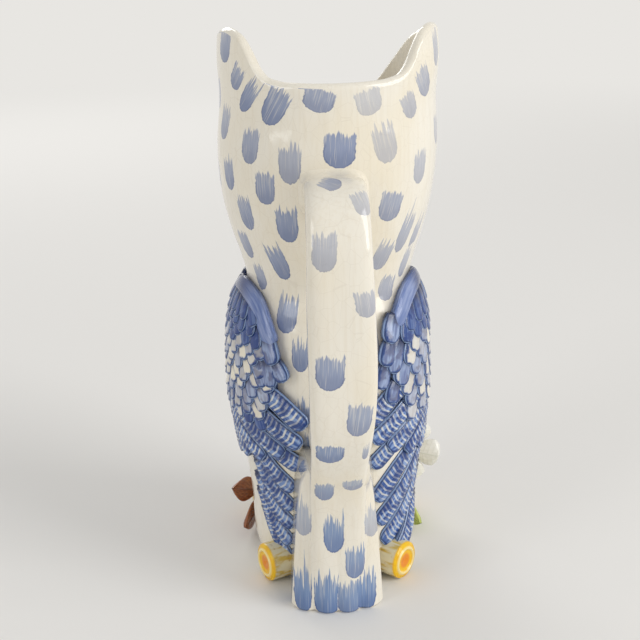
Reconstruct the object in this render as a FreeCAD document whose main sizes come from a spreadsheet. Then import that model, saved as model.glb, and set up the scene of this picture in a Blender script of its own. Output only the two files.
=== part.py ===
"""An owl-shaped pitcher of glazed earthenware, in millimetres.

The owl faces -Y and stands on the table at z = 0. Its head is the mouth of the pitcher, with
two ears at the sides and a V-shaped pouring lip at the front, and its back carries the handle.
"""
import FreeCAD, Part
import math
import os

os.makedirs("parts", exist_ok=True)
doc = FreeCAD.newDocument("OwlPitcher")
sheet = doc.addObject("Spreadsheet::Sheet", "Sizes")
vector = FreeCAD.Vector
row = [0]


def enter(values):
    """Write named sizes into the sheet, one row each, as plain numbers with an alias."""
    for name, value in values.items():
        row[0] += 1
        sheet.set("A%d" % row[0], name)
        sheet.set("B%d" % row[0], str(value))
        sheet.setAlias("B%d" % row[0], name)
    sheet.recompute()


def size(name):
    """Read one named size back from the sheet."""
    return float(sheet.get(name))


def made(kind, name, **links):
    """Add one object of the document, with its links or properties set."""
    thing = doc.addObject(kind, name)
    for key, value in links.items():
        setattr(thing, key, value)
    return thing


def shaped(name, shape):
    """Add one free-form shape, worked out from the sheet, to the document."""
    thing = doc.addObject("Part::Feature", name)
    thing.Shape = shape
    return thing


def seated(name, piece, *carriers):
    """Cut a piece back to the faces of the pieces that carry it."""
    for index, carrier in enumerate(carriers):
        last = index == len(carriers) - 1
        piece = made("Part::Cut", name if last else "%s_off_%s" % (name, carrier.Name),
                     Base=piece, Tool=carrier)
    return piece


# The moulded body, as the radius of its outer wall at named places, whose heights are shares
# of the height of the blank before its rim was cut.
height_shares = {
    "foot": 0.0, "heel": 0.0352, "flank": 0.125, "hip": 0.2344, "belly": 0.3594,
    "chest": 0.4453, "shoulder": 0.5078, "neck": 0.5508, "nape": 0.5859, "jowl": 0.6289,
    "cheek": 0.6836, "brow": 0.7773, "temple": 0.8594, "brim": 0.9297, "peak": 1.0,
}
STATIONS = tuple(height_shares)
BODY_SIZES = {
    "foot_radius": 34.5,
    "heel_radius": 37.2,
    "flank_radius": 38.6,
    "hip_radius": 41.4,
    "belly_radius": 43.2,
    "chest_radius": 42.2,
    "shoulder_radius": 39.2,
    "neck_radius": 37.0,
    "nape_radius": 38.9,
    "jowl_radius": 42.3,
    "cheek_radius": 45.7,
    "brow_radius": 47.9,
    "temple_radius": 46.8,
    "brim_radius": 47.3,
    "peak_radius": 47.0,
    "peak_height": 256.0,
    "wall": 5.0,
    "floor_thickness": 6.0,
    "floor_round": 7.0,
    "overrun": 12.0,
}
enter(BODY_SIZES)


def turned(name, points):
    """A solid of revolution about the upright axis, under one smooth curve through points."""
    curve = Part.BSplineCurve()
    curve.interpolate(points)
    top_centre = vector(0, 0, points[-1].z)
    foot_centre = vector(0, 0, points[0].z)
    outline = Part.Wire([curve.toShape(), Part.makeLine(points[-1], top_centre),
                         Part.makeLine(top_centre, foot_centre),
                         Part.makeLine(foot_centre, points[0])])
    profile = shaped(name + "_profile", Part.Face(outline))
    return made("Part::Revolution", name, Source=profile, Axis=vector(0, 0, 1), Angle=360.0)


def station_height(station):
    """The height of one named place on the body."""
    return size("peak_height") * height_shares[station]


def wall_point(station, growth):
    """One point of the body's outer wall, grown outwards by a length."""
    return vector(size(station + "_radius") + growth, 0, station_height(station))


def body_form(name, growth=0.0, stations=STATIONS):
    """The outer form of the body up to its last named station, grown outwards by a length."""
    return turned(name, [wall_point(station, growth) for station in stations])


body = body_form("body_form")
well = [vector(size("foot_radius") - size("wall") - size("floor_round"), 0,
               size("floor_thickness")),
        vector(size("heel_radius") - size("wall"), 0,
               size("floor_thickness") + size("floor_round"))]
well += [wall_point(station, -size("wall")) for station in STATIONS[2:]]
well.append(well[-1] + vector(0, 0, size("overrun")))
cavity = turned("cavity", well)

# The pouring lip, a short leaning cone pinched out of the front wall at the bottom of the V.
LIP_SIZES = {
    "lip_root_height": 184.0, "lip_root_radius": 4.2, "lip_root_forward": 41.0,
    "lip_mouth_height": 218.0, "lip_mouth_radius": 12.5, "lip_mouth_forward": 47.5,
    "lip_wall": 3.4,
}
enter(LIP_SIZES)


def lip_form(name, wall):
    """The cone of the pouring lip, less one wall given by the sheet."""
    root = vector(0, -size("lip_root_forward"), size("lip_root_height"))
    mouth = vector(0, -size("lip_mouth_forward"), size("lip_mouth_height"))
    cone = made("Part::Cone", name, Height=(mouth - root).Length)
    cone.setExpression("Radius1", "Sizes.lip_root_radius - " + wall)
    cone.setExpression("Radius2", "Sizes.lip_mouth_radius - " + wall)
    cone.Placement = FreeCAD.Placement(root, FreeCAD.Rotation(vector(0, 0, 1), mouth - root))
    return cone


outside = made("Part::MultiFuse", "outside", Shapes=[body, lip_form("prow", "0")])
inside = made("Part::MultiFuse", "inside", Shapes=[cavity, lip_form("channel", "Sizes.lip_wall")])
open_pot = made("Part::Cut", "open_pot", Base=outside, Tool=inside)

# The rim is level at the back, rises at each side to a broad rounded ear, and falls in front
# to the bottom of the lip's V.
RIM_SIZES = {
    "ear_tip_height": 250.0,
    "lip_height": 205.0,
    "rim_tool_inner": 26.0,
}
enter(RIM_SIZES)
# From the owl's face round one side to its back, in degrees from the side towards the tail,
# with the share of the rise from the lip to the ears' tips.
rim_shares = ((-90, 0.0), (-80, 0.04), (-70, 0.145), (-60, 0.30), (-52, 0.455), (-42, 0.67),
              (-32, 0.85), (-20, 0.945), (-5, 0.98), (8, 0.99), (20, 1.0), (31, 0.985),
              (38, 0.915), (44, 0.76), (50, 0.635), (58, 0.575), (70, 0.56), (90, 0.555))


def rim_edge(radius):
    """The rim's line, from the back all round, carried straight out from the axis."""
    fall = size("ear_tip_height") - size("lip_height")
    around = [(-degrees, share) for degrees, share in reversed(rim_shares)]
    around += [(180 + degrees, share) for degrees, share in rim_shares[1:]]
    points = []
    for degrees, share in around:
        turn = math.radians(degrees)
        points.append(vector(radius * math.cos(turn), -radius * math.sin(turn),
                             size("lip_height") + fall * share))
    curve = Part.BSplineCurve()
    curve.interpolate(Points=points, Parameters=[float(degrees) for degrees, share in around])
    return curve.toShape()


rim_surface = shaped("rim_surface", Part.makeRuledSurface(
    rim_edge(size("rim_tool_inner")), rim_edge(size("brow_radius") + size("overrun"))))
above_rim = made("Part::Extrusion", "above_rim", Base=rim_surface, Dir=vector(0, 0, 1),
                 Solid=True)
above_rim.setExpression("LengthFwd", "Sizes.peak_height - Sizes.lip_height + Sizes.overrun")
vessel = made("Part::Cut", "vessel", Base=open_pot, Tool=above_rim)

# The strap, one flat strip of clay from the back of the head down to the table. Above its
# level joint it is the handle, and below the joint it is the ridge of the tail.
HANDLE_SIZES = {
    "strap_width": 25.0,
    "strap_thickness": 11.0,
    "strap_corner": 4.0,
    "strap_top_height": 189.0,
    "strap_reach": 74.5,
    "strap_joint_height": 74.0,
}
enter(HANDLE_SIZES)
# Shares of the strap's reach from the axis and of its top height, down to below the table.
strap_shares = ((0.56, 0.984), (0.75, 1.0), (0.89, 0.978), (0.975, 0.926), (1.0, 0.847),
                (1.0, 0.584), (0.984, 0.508), (0.933, 0.439), (0.870, 0.376), (0.822, 0.312),
                (0.787, 0.238), (0.768, 0.159), (0.752, 0.079), (0.722, 0.0), (0.690, -0.053))


def strap_point(shares):
    """A point of the strap's centre line."""
    out, up = shares
    return vector(0, size("strap_reach") * out, size("strap_top_height") * up)


strap_curve = Part.BSplineCurve()
strap_curve.interpolate([strap_point(shares) for shares in strap_shares])
strap_path = shaped("strap_path", Part.Wire(strap_curve.toShape()))
strap_core = made("Part::Plane", "strap_core")
strap_core.setExpression("Length", "Sizes.strap_width - 2 * Sizes.strap_corner")
strap_core.setExpression("Width", "Sizes.strap_thickness - 2 * Sizes.strap_corner")
start = strap_curve.value(strap_curve.FirstParameter)
along = strap_curve.tangent(strap_curve.FirstParameter)[0]
turn = FreeCAD.Rotation(vector(1, 0, 0), vector(0, 0, 1).cross(along), along, "ZXY")
corner = vector(size("strap_width") / 2 - size("strap_corner"),
                size("strap_thickness") / 2 - size("strap_corner"), 0)
strap_core.Placement = FreeCAD.Placement(start - turn.multVec(corner), turn)
strap_section = made("Part::Offset2D", "strap_section", Source=strap_core, Join=0)
strap_section.setExpression("Value", "Sizes.strap_corner")
doc.recompute()
strap = made("Part::Sweep", "strap", Sections=[strap_section], Spine=(strap_path, ["Edge1"]),
             Solid=True, Frenet=False)
below_joint = made("Part::Box", "below_joint")
below_joint.setExpression("Length", "2 * Sizes.strap_width")
below_joint.setExpression("Width", "2 * Sizes.strap_reach")
below_joint.setExpression("Height", "Sizes.strap_joint_height")
below_joint.Placement.Base = vector(-size("strap_width"), 0, 0)
above_joint = made("Part::Box", "above_joint")
above_joint.setExpression("Length", "2 * Sizes.strap_width")
above_joint.setExpression("Width", "2 * Sizes.strap_reach")
above_joint.setExpression("Height", "Sizes.strap_top_height")
above_joint.Placement.Base = vector(-size("strap_width"), 0, size("strap_joint_height"))
ridge = made("Part::Common", "ridge", Base=strap, Tool=below_joint)
grip = made("Part::Common", "grip", Base=strap, Tool=above_joint)

# The tail, a fan of four joined feathers that widens to the table on both sides of its ridge.
TAIL_SIZES = {
    "tail_top_height": 72.0,
    "tail_top_half_width": 10.0,
    "tail_top_reach": 61.0,
    "tail_foot_half_width": 21.5,
    "tail_foot_reach": 60.0,
    "tail_foot_round": 7.0,
    "tail_lobe_depth": 2.8,
    "tail_root": 20.0,
}
enter(TAIL_SIZES)
tail_level_shares = (0.0, 0.18, 0.42, 0.70, 1.0)
# What is left of the lobes' depth at the tail's top, where they fade out.
tail_fade_share = 0.1
tail_lobes = 4
tail_flare_power = 1.5


def tail_section(share):
    """One level section: the lobes' arcs on the outside, closed by straight sides inside."""
    fade = (1 - share) ** tail_flare_power
    half = size("tail_top_half_width") + fade * (
        size("tail_foot_half_width") - size("tail_top_half_width"))
    reach = size("tail_top_reach") + (1 - share) * (
        size("tail_foot_reach") - size("tail_top_reach"))
    level = size("tail_top_height") * share

    def rim_point(across):
        return vector(half * across, reach - size("tail_foot_round") * across ** 2, level)

    depth = size("tail_lobe_depth") * (tail_fade_share + (1 - tail_fade_share) * (1 - share) ** 2)
    marks = [2 * step / tail_lobes - 1 for step in range(tail_lobes + 1)]
    edges = []
    for left, right in zip(marks, marks[1:]):
        middle = rim_point((left + right) / 2) + vector(0, depth, 0)
        edges.append(Part.Arc(rim_point(left), middle, rim_point(right)).toShape())
    root_left = vector(-half, size("tail_root"), level)
    root_right = vector(half, size("tail_root"), level)
    edges.append(Part.makeLine(rim_point(1), root_right))
    edges.append(Part.makeLine(root_right, root_left))
    edges.append(Part.makeLine(root_left, rim_point(-1)))
    return Part.Wire(edges)


fan = shaped("fan", Part.makeLoft([tail_section(share) for share in tail_level_shares], True))
whole_tail = made("Part::MultiFuse", "whole_tail", Shapes=[fan, ridge])
tail = made("Part::Cut", "tail", Base=whole_tail, Tool=body)
handle = seated("handle", grip, body, tail)

# The folded wings, a raised shield of coverts with two groups of long quills below it, each
# quill a step prouder or lower than the next so that they lap like shingles.
WING_SIZES = {
    "wing_facing_angle": 8.0,
    "wing_top_height": 150.0,
    "shield_length": 92.0,
    "wing_half_chord": 38.5,
    "wing_inner": 24.0,
    "covert_relief": 3.4,
    "quill_relief": 2.6,
    "quill_relief_step": 0.45,
    "quill_half_width": 3.6,
    "quill_droop": 3.0,
}
enter(WING_SIZES)
# The shield's outline: shares of the half chord towards the tail, and of the shield's length.
shield_shares = ((0.48, 0.98), (0.68, 0.91), (0.82, 0.78), (0.90, 0.60), (0.90, 0.36),
                 (0.72, 0.13), (0.30, 0.01), (-0.25, 0.0), (-0.70, 0.10), (-0.96, 0.33),
                 (-0.98, 0.60), (-0.78, 0.84), (-0.35, 0.97), (0.10, 1.0))
# Each quill from its root to its tip: the angle round the body from the owl's side towards
# its tail, in degrees, and the drop from the wing's top as a share of the shield's length;
# then its width share and how many relief steps it stands above the lowest.
quill_shares = (
    ((30, 0.54), (73, 0.723), 1.08, 4), ((10, 0.565), (69, 0.815), 1.06, 3),
    ((-8, 0.575), (61, 0.897), 1.1, 4), ((-14, 0.62), (44, 0.957), 1.1, 3),
    ((-22, 0.67), (28, 0.978), 1.1, 4), ((-32, 0.72), (14, 1.0), 1.1, 3),
    ((-42, 0.77), (-4, 1.0), 1.1, 4),
    ((28, 0.93), (63, 1.065), 1.02, 3), ((22, 0.97), (62, 1.18), 1.0, 2),
    ((22, 1.05), (61, 1.283), 0.97, 3), ((26, 1.12), (59, 1.38), 0.92, 2),
    ((38, 1.28), (57, 1.478), 0.86, 1),
)
WING_STATIONS = STATIONS[:11]


def body_radius(height):
    """The body's outer radius between two stations, by a straight line."""
    walls = [wall_point(station, 0) for station in STATIONS]
    for low, high in zip(walls, walls[1:]):
        if low.z <= height <= high.z:
            return low.x + (high.x - low.x) * (height - low.z) / (high.z - low.z)
    return walls[-1].x


def lifted(name, outline, degrees, form):
    """The part of a grown form under an outline that faces one angle round the body."""
    facing = FreeCAD.Rotation(vector(0, 0, 1), degrees)
    out = facing.multVec(vector(1, 0, 0))
    face = shaped(name + "_outline", Part.Face(Part.Wire(outline)))
    face.Placement = FreeCAD.Placement(out * size("wing_inner"), facing)
    block = made("Part::Extrusion", name + "_block", Base=face, Dir=out, Solid=True)
    block.setExpression("LengthFwd", "Sizes.brow_radius")
    return made("Part::Common", name, Base=block, Tool=form)


def shield_outline():
    """The shield drawn on an upright plane that faces +X."""
    tall = size("shield_length")
    bottom = size("wing_top_height") - tall
    curve = Part.BSplineCurve()
    curve.interpolate(Points=[vector(0, size("wing_half_chord") * across, bottom + tall * up)
                              for across, up in shield_shares], PeriodicFlag=True)
    return [curve.toShape()]


def quill_outline(root, tip, half_width):
    """A banana shape: two arcs that droop from root to tip, closed by a round end at each."""
    chord = tip - root
    down = vector(0, chord.z, -chord.y) * (1 if chord.y > 0 else -1)
    down.normalize()
    middle = (root + tip) / 2 + down * size("quill_droop")
    ends = []
    for end, other in ((root, tip), (tip, root)):
        outwards = (end - other).normalize()
        ends.append((end - down * half_width, end + outwards * half_width,
                     end + down * half_width))
    (root_over, root_cap, root_under), (tip_over, tip_cap, tip_under) = ends
    return [Part.Arc(root_over, middle - down * half_width, tip_over).toShape(),
            Part.Arc(tip_over, tip_cap, tip_under).toShape(),
            Part.Arc(tip_under, middle + down * half_width, root_under).toShape(),
            Part.Arc(root_under, root_cap, root_over).toShape()]


def quill(name, root, tip, width_share, form):
    """One quill on the left wing, drawn on the plane that faces its middle."""
    middle = (root[0] + tip[0]) / 2
    heights = [size("wing_top_height") - size("shield_length") * drop
               for angle, drop in (root, tip)]
    out = body_radius(sum(heights) / len(heights))
    points = [vector(0, out * math.sin(math.radians(angle - middle)), height)
              for (angle, drop), height in zip((root, tip), heights)]
    outline = quill_outline(points[0], points[1], size("quill_half_width") * width_share)
    return lifted(name, outline, middle, form)


covert_form = body_form("covert_form", size("covert_relief"), WING_STATIONS)
quill_forms = {step: body_form("quill_form_%d" % step,
                               size("quill_relief") + step * size("quill_relief_step"),
                               WING_STATIONS)
               for step in sorted({entry[3] for entry in quill_shares})}
plumes = [lifted("shield", shield_outline(), size("wing_facing_angle"), covert_form)]
plumes += [quill("quill_%d" % (index + 1), root, tip, width_share, quill_forms[step])
           for index, (root, tip, width_share, step) in enumerate(quill_shares)]
feathered = made("Part::MultiFuse", "feathered", Shapes=plumes)
left_wing = made("Part::Cut", "left_wing", Base=feathered, Tool=body)
right_wing = made("Part::Mirroring", "right_wing", Source=left_wing, Normal=vector(1, 0, 0))

# The eyes, two press-moulded discs with a raised ring round a domed eyeball.
EYE_SIZES = {
    "eye_radius": 13.5,
    "eye_ring_width": 4.0,
    "eye_ring_rise": 3.4,
    "eye_ball_radius": 8.6,
    "eye_ball_rise": 4.2,
    "eye_seat_depth": 6.0,
    "eye_height": 196.0,
    "eye_angle": 26.0,
}
enter(EYE_SIZES)


def eye(name, sign):
    """A turned disc on the head's front, its axis pointing away from the pitcher's axis."""
    holder = doc.addObject("PartDesign::Body", name + "_disc")
    sketch = holder.newObject("Sketcher::SketchObject", name + "_profile")
    plane = [item for item in holder.Origin.OriginFeatures if item.Role == "XZ_Plane"][0]
    sketch.AttachmentSupport = [(plane, "")]
    sketch.MapMode = "FlatFace"
    outer = size("eye_radius")
    crest = outer - size("eye_ring_width") / 2
    inner = outer - size("eye_ring_width")
    ball = size("eye_ball_radius")
    top = size("eye_ball_rise")
    deep = -size("eye_seat_depth")
    arc = Part.Arc(vector(0, top, 0), vector(ball * math.sin(math.pi / 4), top / math.sqrt(2), 0),
                   vector(ball, 0, 0))
    ridge = Part.Arc(vector(inner, 0, 0), vector(crest, size("eye_ring_rise"), 0),
                     vector(outer, 0, 0))
    lines = [(vector(0, deep, 0), vector(0, top, 0)), (vector(ball, 0, 0), vector(inner, 0, 0)),
             (vector(outer, 0, 0), vector(outer, deep, 0)),
             (vector(outer, deep, 0), vector(0, deep, 0))]
    for first, second in lines:
        sketch.addGeometry(Part.LineSegment(first, second), False)
    sketch.addGeometry(arc, False)
    sketch.addGeometry(ridge, False)
    disc = holder.newObject("PartDesign::Revolution", name + "_turned")
    disc.Profile = sketch
    disc.ReferenceAxis = (sketch, ["V_Axis"])
    disc.Angle = 360.0
    angle = math.radians(size("eye_angle"))
    away = vector(sign * math.sin(angle), -math.cos(angle), 0)
    spin = FreeCAD.Rotation(vector(0, 0, 1), away)
    head = body_radius(size("eye_height"))
    holder.Placement = FreeCAD.Placement(away * head + vector(0, 0, size("eye_height")), spin)
    return made("Part::Cut", name, Base=holder, Tool=outside)


# The hooked beak under the lip.
BEAK_SIZES = {
    "beak_root_height": 190.0, "beak_root_reach": 44.0, "beak_root_radius": 8.4,
    "beak_ridge_height": 189.5, "beak_ridge_reach": 53.0, "beak_ridge_radius": 7.2,
    "beak_bend_height": 184.0, "beak_bend_reach": 59.5, "beak_bend_radius": 5.0,
    "beak_tip_height": 175.0, "beak_tip_reach": 61.0, "beak_tip_radius": 1.4,
}
enter(BEAK_SIZES)
beak_turns = (("root", 0), ("ridge", 18), ("bend", 52), ("tip", 84))
beak_narrow_share = 0.78


def beak_section(part, degrees):
    """An upright ellipse of the beak, leaning over as the beak hooks down."""
    ellipse = doc.addObject("Part::Ellipse", "beak_" + part)
    ellipse.setExpression("MajorRadius", "Sizes.beak_%s_radius" % part)
    ellipse.setExpression("MinorRadius", "Sizes.beak_%s_radius * %s" % (part, beak_narrow_share))
    lean = math.radians(degrees)
    ahead = vector(0, -math.cos(lean), -math.sin(lean))
    upright = vector(0, -math.sin(lean), math.cos(lean))
    centre = vector(0, -size("beak_%s_reach" % part), size("beak_%s_height" % part))
    ellipse.Placement = FreeCAD.Placement(
        centre, FreeCAD.Rotation(upright, ahead.cross(upright), ahead, "ZXY"))
    return ellipse


beak_form = made("Part::Loft", "beak_form", Solid=True,
                 Sections=[beak_section(part, degrees) for part, degrees in beak_turns])
left_eye = eye("left_eye", 1)
right_eye = eye("right_eye", -1)
beak = made("Part::Cut", "beak", Base=beak_form, Tool=outside)

# The perch, a short bowed branch across the front of the foot, and two sawn branch stubs
# that stand out at the back on either side of the tail.
BRANCH_SIZES = {
    "perch_radius": 9.6,
    "perch_half_length": 38.0,
    "perch_forward": 45.0,
    "perch_bow": 9.0,
    "stub_radius": 9.8,
    "left_stub_across": 33.0, "left_stub_back": 30.5, "left_stub_turn": 31.0,
    "right_stub_across": 31.5, "right_stub_back": 34.5, "right_stub_turn": 40.0,
    "stub_length": 22.0,
    "stub_ring_radius": 6.0,
    "stub_ring_bead": 0.8,
}
enter(BRANCH_SIZES)
perch_bend = (size("perch_half_length") ** 2 + size("perch_bow") ** 2) / (
    2 * size("perch_bow"))
perch_swing = math.degrees(math.asin(size("perch_half_length") / perch_bend))
perch_round = made("Part::Torus", "perch_round", Radius1=perch_bend, Angle3=2 * perch_swing)
perch_round.setExpression("Radius2", "Sizes.perch_radius")
perch_round.Placement = FreeCAD.Placement(
    vector(0, perch_bend - size("perch_forward"), size("perch_radius")),
    FreeCAD.Rotation(vector(0, 0, 1), -90 - perch_swing))
perch_branch = made("Part::Cut", "perch_branch", Base=perch_round, Tool=body)


def stub(name, sign):
    """A sawn branch end with a raised growth ring, its face turned out and back."""
    across = size(name + "_across") * sign
    turn = math.radians(size(name + "_turn"))
    out = vector(sign * math.cos(turn), math.sin(turn), 0)
    spin = FreeCAD.Rotation(vector(0, 0, 1), out)
    face = vector(across, size(name + "_back"), size("stub_radius"))
    log = made("Part::Cylinder", name + "_log")
    log.setExpression("Radius", "Sizes.stub_radius")
    log.setExpression("Height", "Sizes.stub_length")
    log.Placement = FreeCAD.Placement(face - out * size("stub_length"), spin)
    bead = made("Part::Torus", name + "_bead")
    bead.setExpression("Radius1", "Sizes.stub_ring_radius")
    bead.setExpression("Radius2", "Sizes.stub_ring_bead")
    bead.Placement = FreeCAD.Placement(face, spin)
    whole = made("Part::MultiFuse", name + "_whole", Shapes=[log, bead])
    return seated(name, whole, body, left_wing if sign > 0 else right_wing, tail)


left_stub = stub("left_stub", 1)
right_stub = stub("right_stub", -1)

# The feet, three toes each, curled over the perch and ending in a claw.
FOOT_SIZES = {
    "foot_across": 15.0,
    "toe_spacing": 7.6,
    "toe_radius": 4.0,
    "toe_sink": 2.0,
    "toe_start_angle": 125.0,
    "toe_finish_angle": 8.0,
    "knuckle_radius": 4.5,
    "claw_length": 7.0,
    "claw_radius": 2.6,
    "claw_tip_radius": 0.5,
}
enter(FOOT_SIZES)
# The claws point down and lean back towards the perch by this share of their drop.
claw_lean_share = 0.2


def perch_centre(across):
    """A point of the perch's axis at one distance across."""
    rise = perch_bend - math.sqrt(perch_bend ** 2 - across ** 2)
    return vector(across, rise - size("perch_forward"), size("perch_radius"))


def toe(name, across):
    """One toe: a bent finger over the perch, a knuckle at its end and a claw below it."""
    centre = perch_centre(across)
    bend = size("perch_radius") + size("toe_radius") - size("toe_sink")
    finger = made("Part::Torus", name + "_finger", Radius1=bend,
                  Angle3=size("toe_start_angle") - size("toe_finish_angle"))
    finger.setExpression("Radius2", "Sizes.toe_radius")
    upright = FreeCAD.Rotation(vector(0, -1, 0), vector(0, 0, 1), vector(-1, 0, 0), "ZXY")
    swing = FreeCAD.Rotation(vector(0, 0, 1), size("toe_finish_angle"))
    finger.Placement = FreeCAD.Placement(centre, upright.multiply(swing))
    last = math.radians(size("toe_finish_angle"))
    end = centre + vector(0, -bend * math.cos(last), bend * math.sin(last))
    knuckle = made("Part::Sphere", name + "_knuckle")
    knuckle.setExpression("Radius", "Sizes.knuckle_radius")
    knuckle.Placement = FreeCAD.Placement(end, FreeCAD.Rotation())
    claw = made("Part::Cone", name + "_claw")
    claw.setExpression("Radius1", "Sizes.claw_radius")
    claw.setExpression("Radius2", "Sizes.claw_tip_radius")
    claw.setExpression("Height", "Sizes.knuckle_radius / 2 + Sizes.claw_length")
    claw.Placement = FreeCAD.Placement(end, FreeCAD.Rotation(vector(0, 0, 1),
                                                             vector(0, claw_lean_share, -1)))
    return [finger, knuckle, claw]


def foot(name, sign):
    """Three toes side by side, joined and seated on the perch and the belly."""
    pieces = []
    for step in (-1, 0, 1):
        pieces += toe("%s_toe_%d" % (name, step + 2),
                      sign * size("foot_across") + step * size("toe_spacing"))
    joined = made("Part::MultiFuse", name + "_toes", Shapes=pieces)
    return seated(name, joined, body, perch_branch)


left_foot = foot("left_foot", 1)
right_foot = foot("right_foot", -1)

# The sprigged flower at the owl's right, pressed against the flank over the perch's end.
FLOWER_SIZES = {
    "flower_across": 40.0, "flower_forward": 33.0, "flower_height": 34.0,
    "flower_turn": 14.0,
    "flower_spin": 180.0,
    "petal_length": 9.0, "petal_width": 7.6, "petal_thickness": 3.2,
    "petal_ring_radius": 8.6,
    "flower_centre_radius": 6.2,
    "stalk_radius": 4.2,
    "stalk_root_radius": 6.5,
}
enter(FLOWER_SIZES)
petal_count = 5
flower_spot = vector(-size("flower_across"), -size("flower_forward"), size("flower_height"))
flower_place = FreeCAD.Placement(
    flower_spot,
    FreeCAD.Rotation(vector(0, 0, 1), -size("flower_turn")).multiply(
        FreeCAD.Rotation(vector(0, 0, 1), vector(0, -1, 0))))


def petal(index):
    """One petal, a flat ellipsoid set out from the flower's middle."""
    leaf_shape = made("Part::Ellipsoid", "petal_%d" % (index + 1))
    leaf_shape.setExpression("Radius1", "Sizes.petal_thickness")
    leaf_shape.setExpression("Radius2", "Sizes.petal_length")
    leaf_shape.setExpression("Radius3", "Sizes.petal_width")
    spread = FreeCAD.Rotation(vector(0, 0, 1), size("flower_spin") + 360.0 * index / petal_count)
    centre = spread.multVec(vector(size("petal_ring_radius"), 0, 0))
    leaf_shape.Placement = flower_place.multiply(FreeCAD.Placement(centre, spread))
    return leaf_shape


# A thick stalk holds the flower off the belly, which it meets under the flower's middle.
stalk_root = vector(0, 0, station_height("hip") / 2)
stalk_way = stalk_root - flower_spot
stalk = made("Part::Cone", "stalk", Height=stalk_way.Length - size("flank_radius") / 2)
stalk.setExpression("Radius1", "Sizes.stalk_radius")
stalk.setExpression("Radius2", "Sizes.stalk_root_radius")
stalk.Placement = FreeCAD.Placement(flower_spot,
                                    FreeCAD.Rotation(vector(0, 0, 1), stalk_way))
petals = made("Part::MultiFuse", "petals",
              Shapes=[petal(index) for index in range(petal_count)] + [stalk])
centre_ball = made("Part::Sphere", "centre_ball", Placement=flower_place, Angle1=0.0)
centre_ball.setExpression("Radius", "Sizes.flower_centre_radius")
flower = seated("flower", petals, body, right_wing, perch_branch)
flower_centre = seated("flower_centre", centre_ball, body, flower)

# The leaves that grow from the perch's ends, each a thin blade from its stalk to its tip.
LEAF_SIZES = {
    "leaf_thickness": 3.0,
    "leaf_width": 13.0,
    "left_leaf_across": 36.0, "left_leaf_forward": 30.0, "left_leaf_height": 17.0,
    "left_leaf_tip_across": 50.0, "left_leaf_tip_forward": 12.0, "left_leaf_tip_height": 30.0,
    "low_leaf_across": 36.0, "low_leaf_forward": 31.0, "low_leaf_height": 8.5,
    "low_leaf_tip_across": 43.0, "low_leaf_tip_forward": 5.0, "low_leaf_tip_height": 8.0,
    "right_leaf_across": -36.0, "right_leaf_forward": 31.0, "right_leaf_height": 8.5,
    "right_leaf_tip_across": -47.0, "right_leaf_tip_forward": 8.0, "right_leaf_tip_height": 9.0,
}
enter(LEAF_SIZES)


def leaf(name, *carriers):
    """A blade bounded by two arcs, thick enough to fire, seated on the pieces that carry it."""
    stalk, tip = (vector(size("%s_%sacross" % (name, end)), -size("%s_%sforward" % (name, end)),
                         size("%s_%sheight" % (name, end))) for end in ("", "tip_"))
    ahead = (tip - stalk).normalize()
    upright = (vector(0, 0, 1) - ahead * ahead.z).normalize()
    middle = (stalk + tip) / 2
    half = size("leaf_width") / 2
    edges = [Part.Arc(stalk, middle + upright * half, tip).toShape(),
             Part.Arc(tip, middle - upright * half, stalk).toShape()]
    blade_face = shaped(name + "_outline", Part.Face(Part.Wire(edges)))
    blade = made("Part::Extrusion", name + "_blade", Base=blade_face, Dir=ahead.cross(upright),
                 Solid=True, Symmetric=True)
    blade.setExpression("LengthFwd", "Sizes.leaf_thickness")
    return seated(name, blade, *carriers)


left_leaf = leaf("left_leaf", body, left_wing, perch_branch)
low_leaf = leaf("low_leaf", body, perch_branch, left_leaf)
right_leaf = leaf("right_leaf", body, perch_branch, flower)

doc.recompute()

NODES = {
    "vessel": vessel, "handle": handle, "left_wing": left_wing, "right_wing": right_wing,
    "tail": tail, "beak": beak, "left_eye": left_eye, "right_eye": right_eye,
    "perch_branch": perch_branch, "left_stub": left_stub, "right_stub": right_stub,
    "left_foot": left_foot, "right_foot": right_foot,
    "flower": flower, "flower_centre": flower_centre,
    "left_leaf": left_leaf, "low_leaf": low_leaf, "right_leaf": right_leaf,
}
bad = [thing.Name for thing in doc.Objects
       if "Invalid" in thing.State or "Error" in thing.State]
if bad:
    raise RuntimeError("objects that failed: " + ", ".join(bad))
for name, thing in NODES.items():
    shape = thing.Shape
    print(name, "valid", shape.isValid(), "solids", len(shape.Solids),
          "volume", round(shape.Volume), "faces", len(shape.Faces))
    if shape.isNull() or not shape.isValid():
        raise RuntimeError("bad shape: " + name)
    thing.Label = name
    shape.exportStep("parts/%s.step" % name)
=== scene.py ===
"""An owl-shaped pitcher of glazed earthenware, painted in cobalt over cream.

Sizes are in millimetres. The owl faces -Y, its handle and tail are at +Y, its left side at +X.
"""
import bpy
import math
import numpy as np
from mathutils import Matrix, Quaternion, Vector


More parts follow.
